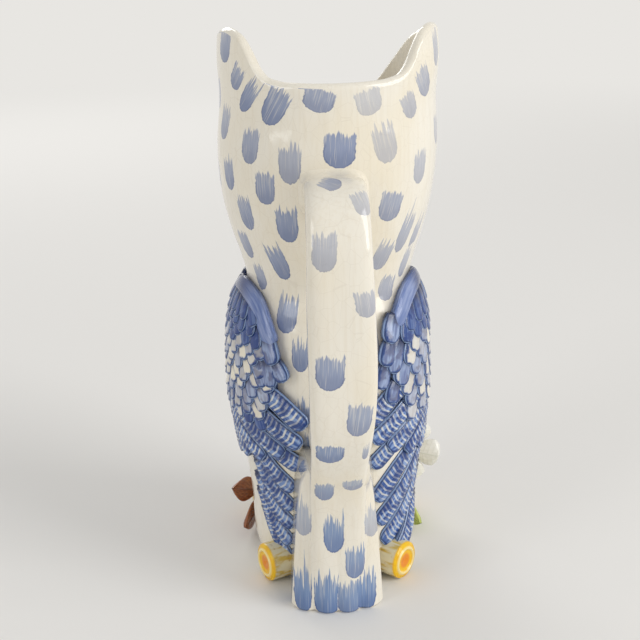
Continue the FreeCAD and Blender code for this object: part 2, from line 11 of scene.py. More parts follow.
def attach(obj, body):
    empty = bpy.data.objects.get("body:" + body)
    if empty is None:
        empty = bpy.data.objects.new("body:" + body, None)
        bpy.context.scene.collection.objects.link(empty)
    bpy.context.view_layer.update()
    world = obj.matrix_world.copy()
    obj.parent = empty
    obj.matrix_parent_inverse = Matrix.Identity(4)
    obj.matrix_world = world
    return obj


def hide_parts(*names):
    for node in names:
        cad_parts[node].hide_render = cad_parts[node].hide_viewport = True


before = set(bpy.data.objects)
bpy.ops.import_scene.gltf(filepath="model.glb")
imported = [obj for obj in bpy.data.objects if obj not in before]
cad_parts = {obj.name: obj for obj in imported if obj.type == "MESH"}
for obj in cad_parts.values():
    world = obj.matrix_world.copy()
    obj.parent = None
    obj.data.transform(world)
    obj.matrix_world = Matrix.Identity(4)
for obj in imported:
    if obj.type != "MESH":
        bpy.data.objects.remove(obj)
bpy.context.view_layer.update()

# The vessel
# The belly, neck and open head are one slip-cast wall of white earthenware, 5 mm thick, with
# the two ears and the pouring lip left standing when the mouth was cut. It was dipped in a
# cream glaze, and the loose rows of feathers are single dabs of a wet cobalt brush.

MM = 0.001
# Height and outer radius of the wall, from the foot to above the ears.
wall_stations = ((0, 34.5), (9, 37.2), (32, 38.6), (60, 41.4), (92, 43.2), (114, 42.2),
                 (130, 39.2), (141, 37.0), (150, 38.9), (161, 42.3), (175, 45.7), (199, 47.9),
                 (220, 46.6), (238, 47.3), (256, 45.6))
wall = 5.0
floor_thickness = 6.0
floor_round = 7.0
foot_round = 1.6
sole_hollow = 0.9
rim_round = 2.6
lip_height = 205.0
ear_height = 250.0
# Degrees from the owl's side towards its tail, and the rim's share of the rise to the ears.
rim_shares = ((-90, 0.0), (-80, 0.035), (-70, 0.12), (-60, 0.26), (-52, 0.40), (-42, 0.60),
              (-32, 0.775), (-20, 0.88), (-8, 0.925), (3, 0.945), (12, 0.985), (20, 1.0),
              (28, 0.985), (36, 0.93), (43, 0.81), (48, 0.69), (53, 0.61), (60, 0.575),
              (72, 0.56), (90, 0.555))
# The head leans a little to the owl's right as it was set down wet, most at the ears.
head_lean = 1.6
lean_from = 165.0
lean_to = 245.0
# The pouring lip is a leaning cone: height, distance forward and radius at root and mouth.
lip_root = (184.0, 41.0, 4.2)
lip_mouth = (218.0, 47.5, 12.5)
lip_wall = 3.4
lip_blend = 2.4


def through(stations, at):
    """A smooth curve through (place, value) stations: a cubic Hermite with mean slopes."""
    place, value = np.array(stations, float).T
    slope = np.gradient(value, place)
    left = np.clip(np.searchsorted(place, at) - 1, 0, len(place) - 2)
    span = place[left + 1] - place[left]
    t = np.clip((at - place[left]) / span, 0, 1)
    return ((1 + 2 * t) * (1 - t) ** 2 * value[left] + t * (1 - t) ** 2 * span * slope[left]
            + t ** 2 * (3 - 2 * t) * value[left + 1]
            + t ** 2 * (t - 1) * span * slope[left + 1])


def rising(low, high, at):
    """A smooth step from 0 at low to 1 at high."""
    t = np.clip((at - low) / (high - low), 0, 1)
    return t * t * (3 - 2 * t)


def further(reach, other, blend):
    """The further of two reaches, softly joined."""
    near = np.clip(0.5 + (other - reach) / (2 * blend), 0, 1)
    return reach * (1 - near) + other * near + blend * near * (1 - near)


def as_points(*numbers):
    """Points on a grid, from one array for each of their numbers."""
    return np.stack(np.broadcast_arrays(*numbers), -1)


def circle(steps):
    """Angles once round in equal steps."""
    return np.arange(steps) * 2 * np.pi / steps


def wall_radius(height):
    """The plain turned wall's outer radius at a height."""
    return through(wall_stations, height)


def with_lip(radius, turn, height, inset):
    """The wall pushed out where the lip's cone stands further from the axis, softly joined.

    The cone's level section is a circle, so along a ray it reaches f cos d + sqrt(r^2 -
    f^2 sin^2 d), with f its distance forward, r its radius and d the angle off the front.
    """
    rise = (height - lip_root[0]) / (lip_mouth[0] - lip_root[0])
    forward = lip_root[1] + rise * (lip_mouth[1] - lip_root[1])
    cone = np.maximum(lip_root[2] + rise * (lip_mouth[2] - lip_root[2]) - inset, 0)
    off = np.radians(turn) + np.pi / 2
    inside = cone ** 2 - (forward * np.sin(off)) ** 2
    reach = np.where((inside > 0) & (np.cos(off) > 0),
                     forward * np.cos(off) + np.sqrt(np.maximum(inside, 0)), 0)
    return further(radius, reach, lip_blend)


def rim_height(turn):
    """The rim's top at an azimuth in degrees, the same on both sides of the owl."""
    side = np.degrees(np.arctan2(np.sin(np.radians(turn)), np.abs(np.cos(np.radians(turn)))))
    return lip_height + (ear_height - lip_height) * through(rim_shares, side)


def round_the_axis(radius, turn, height):
    """Points at a radius and an azimuth in degrees round the upright axis."""
    angle = np.radians(turn)
    return as_points(radius * np.cos(angle), radius * np.sin(angle), height)


def with_poles(*grids):
    """The points of grids in one list, each with the middles of its end rows at its end."""
    return np.concatenate([part for grid in grids for part in (
        grid.reshape(-1, grid.shape[2]), grid[[0, -1]].mean(axis=1))])


def closed_surface(name, *grids):
    """One mesh of closed skins in millimetres, one on each grid of points.

    The rows of a grid follow the skin and its columns go round it. Each end row closes on a
    pole at its own middle, and the faces are turned to look out of the volume they enclose.
    """
    points, faces = [], []
    for grid in grids:
        rows, columns = grid.shape[:2]
        index = np.arange(rows * columns).reshape(rows, columns)
        after = np.roll(index, -1, axis=1)
        quads = np.stack([index[:-1], after[:-1], after[1:], index[1:]], -1).reshape(-1, 4)
        foot, top = rows * columns, rows * columns + 1
        fans = np.concatenate([
            np.stack([after[0], index[0], np.full(columns, foot)], -1),
            np.stack([index[-1], after[-1], np.full(columns, top)], -1)])
        skin = with_poles(grid)
        corners = np.concatenate([quads[:, [0, 1, 2]], quads[:, [0, 2, 3]], fans])
        a, b, c = (skin - skin.mean(axis=0))[corners].transpose(1, 0, 2)
        turned = -1 if np.einsum("ij,ij->i", a, np.cross(b, c)).sum() < 0 else 1
        start = sum(map(len, points))
        faces += (quads[:, ::turned] + start).tolist() + (fans[:, ::turned] + start).tolist()
        points.append(skin)
    mesh = bpy.data.meshes.new(name)
    mesh.from_pydata((np.concatenate(points) * MM).tolist(), [], faces)
    mesh.polygons.foreach_set("use_smooth", np.ones(len(faces), bool))
    piece = bpy.data.objects.new(name, mesh)
    bpy.context.collection.objects.link(piece)
    return piece


def keep_vectors(piece, name, values):
    """Store one vector for each vertex, or for each face corner where there are as many."""
    domain = "POINT" if len(values) == len(piece.data.vertices) else "CORNER"
    store = piece.data.attributes.new(name, "FLOAT_VECTOR", domain)
    store.data.foreach_set("vector", np.ascontiguousarray(values, np.float32).ravel())


def paint_dabs(piece, dabs, spacing, *skins):
    """Lay brush dabs on a piece.

    A dab is (across, up, width, length, lean to the right in degrees, strength), and a skin is
    the grids of its points' across, up and whether they stay bare. Every face takes the dab
    that lies nearest, and each of its corners gets its own place in that dab, from -1 to 1
    across and from foot to tip. A long dab was drawn out further, so its tip is more ragged,
    and the colour was laid on thicker towards the tail. spacing is the millimetres in one unit
    across, at each dab where that is a degree round the axis.
    """
    loops, polygons = piece.data.loops, piece.data.polygons
    vertex, count = np.empty(len(loops), int), np.empty(len(polygons), int)
    loops.foreach_get("vertex_index", vertex)
    polygons.foreach_get("loop_total", count)
    first = vertex[np.cumsum(count) - count]
    across, up, bare = with_poles(*(as_points(*skin) for skin in skins)).T
    dab_across, dab_up, width, length, lean, strength = np.array(dabs, float).T
    lean = np.radians(lean)
    spacing = np.broadcast_to(spacing, len(dabs))

    def place(points, dab):
        side = across[points] - dab_across[dab]
        side = np.where(spacing[dab] < 1, (side + 180) % 360 - 180, side) * spacing[dab]
        rise = up[points] - dab_up[dab]
        return ((side * np.cos(lean[dab]) - rise * np.sin(lean[dab])) / (width[dab] / 2),
                (side * np.sin(lean[dab]) + rise * np.cos(lean[dab])) / (length[dab] / 2))

    nearest = np.zeros(len(first), int)
    closest = np.full(len(first), np.inf)
    for dab in range(len(dabs)):
        u, v = place(first, dab)
        gap = u ** 2 + v ** 2
        nearest = np.where(gap < closest, dab, nearest)
        closest = np.minimum(gap, closest)
    dab = np.repeat(nearest, count)
    u, v = place(vertex, dab)
    u = np.where((bare[vertex] > 0.5) | (np.abs(u) > 3), 3.0, u)
    # The third number is each dab's own, so that no two fray alike.
    keep_vectors(piece, "dab", np.stack([u, v, dab * 7.31 + 3.0], -1))
    ragged = 0.9 + 2.2 * np.maximum(length / width - 1.35, 0)
    thick = 0.15 + 0.85 * rising(150, 25, dab_up)
    keep_vectors(piece, "wash", np.stack([strength, ragged, thick], -1)[dab])


columns = 400
turn = np.arange(columns) * 360 / columns
rim = rim_height(turn)
level = np.linspace(0, 1, 150)[:, None]
foot_level = np.linspace(0, np.pi / 2, 6)[:-1, None]
height = foot_round + (rim - rim_round - foot_round) * level
outside = with_lip(wall_radius(height), turn, height, 0)
foot_edge = wall_radius(foot_round)
foot = round_the_axis(foot_edge - foot_round * (1 - np.sin(foot_level)), turn,
                      foot_round * (1 - np.cos(foot_level)))
inner_height = floor_thickness + floor_round + (
    rim - rim_round - floor_thickness - floor_round) * level[::-3]
inside = with_lip(wall_radius(inner_height) - wall, turn, inner_height, lip_wall)
over = np.linspace(0, np.pi, 14)[1:-1, None]
rim_middle = (outside[-1] + inside[0]) / 2
rim_half = (outside[-1] - inside[0]) / 2
bowl = np.linspace(0, np.pi / 2, 8)[1:, None]
floor_edge = wall_radius(floor_thickness + floor_round) - wall
sole = round_the_axis(np.linspace(6, 27, 5)[:, None], turn,
                      sole_hollow * np.array([1, 1, 1, 1, 0])[:, None])
vessel_grid = np.concatenate([
    sole, foot,
    round_the_axis(outside, turn, height),
    round_the_axis(rim_middle + rim_half * np.cos(over), turn,
                   rim - rim_round + rim_round * np.sin(over)),
    round_the_axis(inside, turn, inner_height),
    round_the_axis(floor_edge - floor_round * (1 - np.cos(bowl)), turn,
                   floor_thickness + floor_round * (1 - np.sin(bowl)))])
vessel_grid[:, :, 0] -= head_lean * rising(lean_from, lean_to, vessel_grid[:, :, 2])
vessel = closed_surface("vessel_shell", vessel_grid)

# Dabs that the photograph shows on the back: azimuth, height, width, length, lean, strength.
dabs = [(23, 243.5, 11, 15, 6, 0.9), (35, 231.5, 7.6, 12.5, 36, 0.9),
        (43.5, 224.5, 7.2, 17, 40, 0.95),
        (59.8, 221.5, 10.6, 18, 30, 0.95), (82, 224.2, 13, 10.5, 14, 0.85),
        (106.6, 223, 11.6, 12, -16, 0.45), (131.3, 219.6, 8.6, 12.5, -26, 0.6),
        (143, 228, 9.5, 15, -34, 0.7), (158, 240, 8, 16, -10, 0.65), (21, 212, 9, 16, 14, 0.85),
        (45, 204.8, 9.5, 16, 6, 0.85), (68, 199, 10, 18, 0, 0.75), (92.3, 204.5, 13.5, 16, 4, 1.0),
        (115.5, 206, 11, 18, -14, 0.5), (140.5, 193.5, 9, 16, 0, 0.6), (163, 206, 9, 14, 0, 0.6),
        (26, 191, 9, 15, -4, 0.9), (54, 188, 10, 15, 0, 0.9), (38, 175.5, 9, 16, -8, 0.9),
        (65, 173, 10, 17, 0, 1.05), (121, 179.3, 12, 14.5, 12, 0.8),
        (136, 165.5, 8, 20, 18, 0.7), (55, 155, 9, 18, -16, 1.05), (29, 160, 9, 14, -12, 0.85),
        (35, 145.5, 7.5, 13, -5, 0.85), (59, 132, 10, 18, 4, 1.05), (69, 115, 8, 16, 0, 0.95),
        (70, 88, 7, 15, 0, 0.9), (121, 157, 9, 15, 20, 0.7), (129, 141, 9, 13, 20, 0.7),
        (146, 150, 7, 15, 16, 0.7), (112, 116, 8, 15, 4, 0.8), (111, 92, 7, 14, 0, 0.8),
        (73, 71, 6, 13, 0, 0.9), (150, 163, 7, 17, 18, 0.7), (92, 152, 9, 14, 0, 0.8),
        (90, 124, 9, 14, 4, 0.8)]
chance = np.random.default_rng(12)


def loose_dab(azimuth, row, stray, width, length):
    """A dab near a place on the wall, as uneven as a quick hand leaves it."""
    return (azimuth + chance.uniform(-stray, stray), row + chance.uniform(-3, 3),
            chance.uniform(width, width + 2), chance.uniform(length, length + 4),
            chance.uniform(-14, 14), chance.uniform(0.7, 1.0))


# Rows of the same dabs on the front and sides, which the photograph hides. They leave out the
# face, and the belly's rows keep between the wings.
for number, row in enumerate((240, 223, 206, 189, 172, 156, 140)):
    for step in range(8):
        azimuth = 183 + (step + number % 2 / 2) * 24
        off_front = abs((azimuth - 270 + 180) % 360 - 180)
        if not (off_front < 52 and 168 < row < 226) and azimuth < 366:
            dabs.append(loose_dab(azimuth, row, 4, 8.5, 12))
for number, row in enumerate((126, 110, 94, 78, 62, 46, 30)):
    for step in range(5):
        azimuth = 270 + (step - 2 + number % 2 / 2) * 17
        if abs(azimuth - 270) < 40:
            dabs.append(loose_dab(azimuth, row, 3.5, 7.5, 10))
# Strokes that spread from each eye, save where the beak stands.
eye_azimuths = (296.0, 244.0)
eye_level = 196.0
face_radius = 21.0
face_wall = 47.9
for eye_azimuth in eye_azimuths:
    beak_side = -90 if eye_azimuth > 270 else 90
    for clock in range(0, 360, 24):
        if abs((clock - beak_side + 180) % 360 - 180) > 40:
            angle = math.radians(clock)
            dabs.append((eye_azimuth + math.degrees(face_radius * math.sin(angle) / face_wall),
                         eye_level + face_radius * math.cos(angle), 6.4, 12, clock,
                         chance.uniform(0.75, 1.0)))
# Only the outside is painted.
bare = np.ones((len(vessel_grid), 1), bool)
bare[len(sole):len(sole) + len(foot) + len(height) + 1] = False
paint_dabs(vessel, dabs, [wall_radius(dab[1]) * math.pi / 180 for dab in dabs],
           (turn, vessel_grid[:, :, 2], bare))


def linear(colour):
    """The linear red, green, blue and alpha of an sRGB hex colour."""
    parts = [int(colour[place:place + 2], 16) / 255 for place in (1, 3, 5)]
    return tuple(part / 12.92 if part <= 0.04045 else ((part + 0.055) / 1.055) ** 2.4
                 for part in parts) + (1.0,)


# Mixes are of colours, and a range is mapped by a smooth step.
usual = {"Mix": {"data_type": "RGBA"}, "MapRange": {"interpolation_type": "SMOOTHSTEP"}}


def add(tree, kind, *inputs, output=0, **settings):
    """Add one shader node, set its properties, then link or set the inputs that it shows, in
    order, and give back one of the outputs that it shows, or a slice of them. A kind may name
    its operation after a space. An input may be a hex colour, and None keeps the node's own."""
    kind, _, operation = kind.partition(" ")
    node = tree.nodes.new("ShaderNode" + kind)
    if operation:
        node.operation = operation
    for name, value in {**usual.get(kind, {}), **settings}.items():
        setattr(node, name, value)
    for socket, value in zip([socket for socket in node.inputs if socket.enabled], inputs):
        if isinstance(value, bpy.types.NodeSocket):
            tree.links.new(value, socket)
        elif value is not None:
            socket.default_value = linear(value) if isinstance(value, str) else value
    if isinstance(output, str):
        return node.outputs[output]
    return [socket for socket in node.outputs if socket.enabled][output]


def kept(tree, name):
    """The vectors kept on a piece under a name, and their three numbers."""
    vector = add(tree, "Attribute", attribute_name=name, output=1)
    return vector, *add(tree, "SeparateXYZ", vector, output=slice(3))


def features(across, along=None):
    """The scale of a pattern whose features have these sizes, across and up."""
    return 1 / across, 1 / across, 1 / (along or across)


def marks(tree, place, scale, detail):
    """The uneven marks of a brush or of glaze that ran, at a scale along each axis."""
    return add(tree, "TexNoise", add(tree, "VectorMath MULTIPLY", place, scale), 1.0, detail)


def washes(tree, colour, *layers):
    """Colours laid over one another. A layer is what it follows, where on that it sets in and
    where it is fullest, its share there, and its colour."""
    for guide, start, full, share, tint in layers:
        cover = add(tree, "MapRange", guide, start, full, 0.0, share)
        colour = add(tree, "Mix", cover, colour, tint)
    return colour


def glaze(name, roughness=0.1):
    """A new material with a glossy clear glaze over it, its tree and the place on a piece."""
    material = bpy.data.materials.new(name)
    material.use_nodes = True
    tree = material.node_tree
    shader = tree.nodes["Principled BSDF"]
    shader.inputs["Roughness"].default_value = roughness
    shader.inputs["IOR"].default_value = 1.52
    return material, tree, add(tree, "TexCoord", output="Object")


def coat(tree, colour, *reliefs):
    """Give a glaze its colour and its reliefs, each a depth in mm and what it follows."""
    normal = None
    for depth, height in reliefs:
        normal = add(tree, "Bump", 1.0, depth * MM, None, height, normal)
    shader = tree.nodes["Principled BSDF"]
    tree.links.new(colour, shader.inputs["Base Color"])
    tree.links.new(normal, shader.inputs["Normal"])


def cream_ground(tree, place):
    """The cream glaze's own colour and its streaks: faint brushed streaks down the pot, slow
    drifts of tone, and a net of hair cracks, drawn 5 mm apart for the render to show it."""
    streaks = marks(tree, place, features(1.3 * MM, 38 * MM), 3.0)
    drift = marks(tree, place, features(28 * MM, 40 * MM), 2.0)
    cells = add(tree, "VectorMath MULTIPLY", place, features(5.0 * MM, 6.5 * MM))
    cells = add(tree, "TexVoronoi", cells, 1.0, feature="DISTANCE_TO_EDGE")
    return washes(tree, "#ece6d8", (streaks, 0.42, 0.72, 0.22, "#dcd0b8"),
                  (drift, 0.40, 0.75, 0.35, "#e6d8b8"),
                  (cells, 0.03, 0.0, 0.10, "#a8977c")), streaks


def dab_layer(tree, ground):
    """Cobalt dabs over a ground: a rounded foot where the wet brush was set down, straight
    sides, and a blunt tip that frays into bristle streaks. Colour gathers at the foot's edge."""
    dab, side, rise = kept(tree, "dab")[:3]
    strength, ragged, thick = kept(tree, "wash")[1:]
    wobble = marks(tree, dab, (4.0, 4.0, 1.0), 2.0)
    bristle = marks(tree, dab, (5.0, 0.35, 1.7), 2.5)
    hairs = marks(tree, dab, (12.0, 0.6, 1.3), 2.0)
    below = add(tree, "Math MINIMUM", add(tree, "Math ADD", rise, 0.25), 0.0)
    below = add(tree, "Math DIVIDE", below, 0.75)
    edge = add(tree, "VectorMath LENGTH", add(tree, "CombineXYZ", side, below))
    edge = add(tree, "Math MULTIPLY_ADD", wobble, 0.22, edge)
    edge = add(tree, "Math MULTIPLY_ADD", hairs, 0.12, edge)
    tip = add(tree, "Math SUBTRACT", bristle, 0.5)
    tip = add(tree, "Math MULTIPLY_ADD", tip, ragged, 0.72)
    tip = add(tree, "Math MULTIPLY_ADD", hairs, 0.45, tip)
    past_tip = add(tree, "Math SUBTRACT", rise, tip)
    dry = add(tree, "Math MULTIPLY_ADD", rise, -0.10, hairs)
    cover = strength
    for share in (add(tree, "MapRange", edge, 1.16, 1.11),
                  add(tree, "MapRange", past_tip, -0.18, -0.32),
                  add(tree, "MapRange", dry, 0.30, 0.50, 0.62, 1.0)):
        cover = add(tree, "Math MULTIPLY", cover, share)
    gathered = add(tree, "Math MULTIPLY", add(tree, "MapRange", edge, 0.98, 1.10),
                   add(tree, "MapRange", rise, 0.6, -0.3))
    pool = add(tree, "Math MULTIPLY_ADD", bristle, 0.8, rise)
    pool = add(tree, "MapRange", pool, 0.6, -0.3, 0.0, 0.5)
    thin = add(tree, "Mix", thick, "#8b95b0", "#6c89b4")
    deep = add(tree, "Mix", thick, "#5d6c92", "#2f5390")
    colour = add(tree, "Mix", add(tree, "Math MAXIMUM", gathered, pool), thin, deep)
    return add(tree, "Mix", add(tree, "Math MINIMUM", cover, 0.95), ground, colour)


# Cream glaze on earthenware, brushed with cobalt: a glossy coat that runs smooth over the
# brush marks and shows a soft ripple in its reflections.
cream_glaze, tree, place = glaze("cream_glaze_brushed_with_cobalt", 0.09)
ground, streaks = cream_ground(tree, place)
ripple = marks(tree, place, features(9 * MM, 16 * MM), 2.0)
coat(tree, dab_layer(tree, ground), (0.03, streaks), (0.35, ripple))


def finish_piece(piece, material, node):
    """Glaze a piece, fix it to the pitcher and let it stand for its solid."""
    piece.data.materials.append(material)
    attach(piece, "root")
    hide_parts(node)


finish_piece(vessel, cream_glaze, "vessel")

# The handle
# A strap of clay 25 mm wide with round edges, bent from the back of the head down to the
# tail, whose ridge it becomes. Its top was thumbed onto the head, so it spreads there.

strap_width = 25.0
strap_thickness = 11.0
strap_spread = 6.0
spread_most = 5.4
side_spread = 0.35
strap_joint = 60.0
# How much wider than strap_width each half is at heights, as it was squeezed by the hand.
strap_squeeze = ((55, -0.6), (80, -0.4), (100, 0.8), (150, 0.9), (170, 0.2), (185, 0.0))
# How far strap and tail stand off the middle towards the owl's left, at heights.
strap_sway = ((0, 2.0), (40, 1.6), (72, 1.1), (92, 0.1), (112, -0.6), (150, -0.2), (175, 0.0))
# Distance from the pitcher's axis and height of the strap's middle line, down to the foot.
strap_line = np.array(((38.0, 185.0), (41.7, 186.0), (55.9, 189.0), (66.3, 184.8),
                       (72.6, 175.0), (74.5, 160.1), (74.6, 135.0), (74.5, 110.4),
                       (73.3, 96.0), (69.5, 83.0), (64.8, 71.1), (61.2, 59.0), (58.6, 45.0),
                       (57.2, 30.0), (56.0, 14.9), (53.8, 0.0), (51.4, -10.0)))
strap_power = 3.4
strap_columns = 96


def run_of(line):
    """How far along a line of points each of them lies."""
    return np.concatenate([[0], np.cumsum(np.linalg.norm(np.diff(line, axis=0), axis=1))])


def on_line(line, at):
    """Points at distances along a smooth line through given points, and the headings there."""
    stop = run_of(line)
    spot = as_points(*(through(as_points(stop, values), at) for values in line.T))
    heading = np.gradient(spot, at, axis=0)
    return spot, heading / np.linalg.norm(heading, axis=1, keepdims=True)


whole = np.linspace(0, run_of(strap_line)[-1], 4000)
along = np.linspace(0, whole[on_line(strap_line, whole)[0][:, 1] > strap_joint][-1], 240)
middle, heading = on_line(strap_line, along)
out, high = middle.T
spin = circle(strap_columns)
wide, thick = (np.sign(wave) * np.abs(wave) ** (2 / strap_power)
               for wave in (np.cos(spin), np.sin(spin)))


def rooted(grid):
    """A grid with no point nearer the axis than the middle of the wall's thickness, so that
    what is luted on doesn't show in the hollow."""
    turn = np.degrees(np.arctan2(grid[..., 1], grid[..., 0]))
    middle = with_lip(wall_radius(grid[..., 2]) - wall / 2, turn, grid[..., 2], lip_wall / 2)
    push = np.maximum(middle / np.maximum(np.hypot(grid[..., 0], grid[..., 1]), 0.01), 1)
    return grid * as_points(push, push, 1.0)


def strap_points(grow):
    """Superellipse sections square to the strap's middle line, grown up and down by a length
    and less to the sides."""
    across = wide * (strap_width / 2 + through(strap_squeeze, high)[:, None]
                     + side_spread * grow)
    off = thick * (strap_thickness / 2 + grow)
    return as_points(across, out[:, None] - off * heading[:, 1:],
                     high[:, None] + off * heading[:, :1])


# The strap spreads along a quarter circle where it nears the wall, and slims into the ridge.
end_grow = 0.2 - 0.6 * rising(strap_joint + 13, strap_joint, high)[:, None]
plain = strap_points(end_grow)
clear = np.clip(np.hypot(plain[..., 0], plain[..., 1]) - wall_radius(plain[..., 2]), 0,
                strap_spread)
flare = strap_spread - np.sqrt(strap_spread ** 2 - (strap_spread - clear) ** 2)
handle_grid = rooted(strap_points(end_grow + np.minimum(flare, spread_most)))
handle_grid[:, :, 0] += through(strap_sway, handle_grid[:, :, 2])
handle = closed_surface("strap_handle", handle_grid)
# Distance up the strap, which is the height at the bend's end, and round it from its middle.
bend_end = 5
up_the_strap = strap_line[bend_end, 1] + run_of(strap_line)[bend_end] - along
section = as_points(wide * strap_width, thick * strap_thickness) / 2
arc = np.cumsum(np.linalg.norm(section - np.roll(section, 1, axis=0), axis=1))
arc = (arc - arc[strap_columns // 4] + arc[-1] / 2) % arc[-1] - arc[-1] / 2
# Round the strap to the owl's right, distance up the strap, width, length, lean, strength.
handle_dabs = [(-6, 170.5, 10, 15, 4, 0.6), (9, 150.5, 9, 12, -8, 0.6),
               (-5, 122.5, 11, 16, 4, 0.9), (6, 102, 10, 15, 4, 0.8),
               (-5, 86.5, 12, 10, 0, 0.9), (9.9, 86, 3, 8, 0, 0.7),
               (-6.2, 63.6, 8.4, 12.5, 0, 0.8), (5.7, 66.6, 9, 8.5, 0, 0.7),
               (-2.5, 195, 8, 10, -55, 0.75), (9.5, 186.5, 8.5, 10, -24, 0.5),
               (-17, 139, 7, 13, 0, 0.7), (17, 122, 7, 13, 0, 0.7)]
paint_dabs(handle, handle_dabs, 1.0, (arc, up_the_strap[:, None], thick < -0.2))
finish_piece(handle, cream_glaze, "handle")

# The tail
# Four feathers fan out to the table on both sides of the strap's lower end, which stands
# proud as a broad ridge and sinks away into them above the foot. A saddle of clay fills the
# crotch between handle and belly, and each feather's end is washed with cobalt.

tail_top = 72.0
tail_top_half = 10.0
tail_foot_half = 20.6
tail_reach = 60.0
tail_foot_round = 7.0
tail_lobe_depth = 2.8
tail_root = 30.0
tail_lobes = 4
tail_foot_edge = 1.2
ridge_half = 12.0
ridge_blend = 3.0
# The saddle's reach from the axis at its front, its lowest place and its back, and its size.
saddle_from = 36.0
saddle_dip = 52.0
saddle_to = 67.0
saddle_level = 74.0
saddle_half = 11.0
saddle_depth = 8.0


def tail_half(height):
    """Half the fan's width at a height."""
    return tail_top_half + (1 - height / tail_top) ** 0.4 * (tail_foot_half - tail_top_half)


def tail_face(across, height):
    """The tail's outer face: how far back it stands at a place across and a height.

    The fan bows as a parabola with one hump of a rectified sine for each feather, which fades
    upwards. The ridge is the outer half of the strap's superellipse. The further of the
    two counts.
    """
    half = tail_half(height)
    side = across / half
    hump = np.abs(np.sin(np.pi * (np.clip(side, -1, 1) + 1) / 2 * tail_lobes)) ** 0.7
    fan = (tail_reach - tail_foot_round * np.clip(side, -1, 1) ** 2 + tail_lobe_depth * hump
           * (0.1 + 0.9 * (1 - height / tail_top) ** 2) - 10 * np.maximum(np.abs(side) - 1, 0))
    line = strap_line[:7:-1]
    centre = through(line[:, ::-1], height)
    slope = through(as_points(line[:, 1], np.gradient(*line.T)), height)
    edge = np.minimum(np.abs(across) / ridge_half, 1)
    ridge = (centre + strap_thickness / 2 * np.sqrt(1 + slope ** 2)
             * (1 - edge ** strap_power) ** (1 / strap_power)
             - 3 * np.maximum(np.abs(across) - ridge_half, 0))
    return further(fan, ridge, ridge_blend)


tail_height = np.concatenate([[0, 0.35], np.linspace(tail_foot_edge, tail_top, 150)])[:, None]
half = np.maximum(tail_half(tail_height), ridge_half - 0.3)
inset = np.sqrt(np.clip(1 - tail_height / tail_foot_edge, 0, 1)) * tail_foot_edge
across = np.sin(np.linspace(-np.pi / 2, np.pi / 2, 180)) * (half - inset)
front = as_points(across, tail_face(across, tail_height) - inset, tail_height)
across = np.linspace(1, -1, 24) * (half - inset)
back = as_points(across, tail_root, tail_height)
tail_grid = rooted(np.concatenate([front, back], axis=1))
# The saddle's top climbs from its dip by even powers, to the belly and to the strap.
reach = np.linspace(saddle_from, saddle_to, 40)[:, None]
climb = np.minimum((reach - saddle_dip) / np.where(reach < saddle_dip, 10, 12), 0.85)
saddle_top = saddle_level + 3 * climb ** 2 + 7 * climb ** 4
saddle_grid = rooted(as_points((saddle_half + 1.3 * np.abs(climb) ** 3) * wide, reach,
                               saddle_top - saddle_depth * (1 - thick)))
# Across to the owl's right, height, width, length, lean, strength.
tail_dabs = [(-6.2, 65.2, 8.4, 12.5, 0, 0.8), (5.7, 68.2, 9, 8.5, 0, 0.7),
             (-2.1, 41.3, 9.2, 20, 0, 0.9), (-15.2, 45, 7.6, 17, 0, 0.6),
             (15, 42, 7.5, 15, -4, 0.5), (7.3, 26.6, 9.2, 18, 0, 0.85),
             (-15.6, 10.5, 8, 24, 0, 1.0), (-5.4, 9, 11, 24, 0, 1.0), (4.6, 7.5, 10.5, 19, 0, 0.9),
             (12.5, 9.5, 9.5, 21, 0, 1.0)]
x, y, z = tail_grid.transpose(2, 0, 1)
tail = closed_surface("tail_fan", as_points(x + through(strap_sway, z), y, z), saddle_grid)
paint_dabs(tail, tail_dabs, 1.0, (-x, z, y < 42), (saddle_grid[..., 0], 0.0, True))
finish_piece(tail, cream_glaze, "tail")

# The wings
# Each wing was moulded in low relief and luted to the belly's side: a thin pad with rows of
# small rounded coverts, then long quills with raised barbs, each lapping over the one below.
# The cobalt pools dark between the feathers, deepened by painted shade at each root under the
# feather above, and breaks pale on their edges, where a highlight is painted too.

pad_height = 1.6
feather_sink = 1.5
edge_round = 0.6
belly_radius = 42.0
barb_pitch = 2.3
barb_height = 0.28
# The pad's outline: degrees from the owl's side towards its tail, and height.
pad_outline = ((28, 133.5), (38, 132), (47, 127), (52, 118), (55, 107), (54, 96), (51, 86),
               (45, 76), (30, 66), (8, 62), (-16, 66), (-36, 78), (-49, 95), (-53, 113),
               (-47, 126), (-33, 134), (-12, 134), (10, 134))
# How far each wing swells off the belly at heights, the left one pressed on fuller.
swell = {"left_wing": ((55, 0.0), (75, 1.6), (108, 2.1), (128, 2.5), (136, 1.8), (144, 0.0)),
         "right_wing": ((55, 0.0), (75, 0.2), (108, 0.3), (126, 1.5), (136, 1.6), (144, 0.0))}


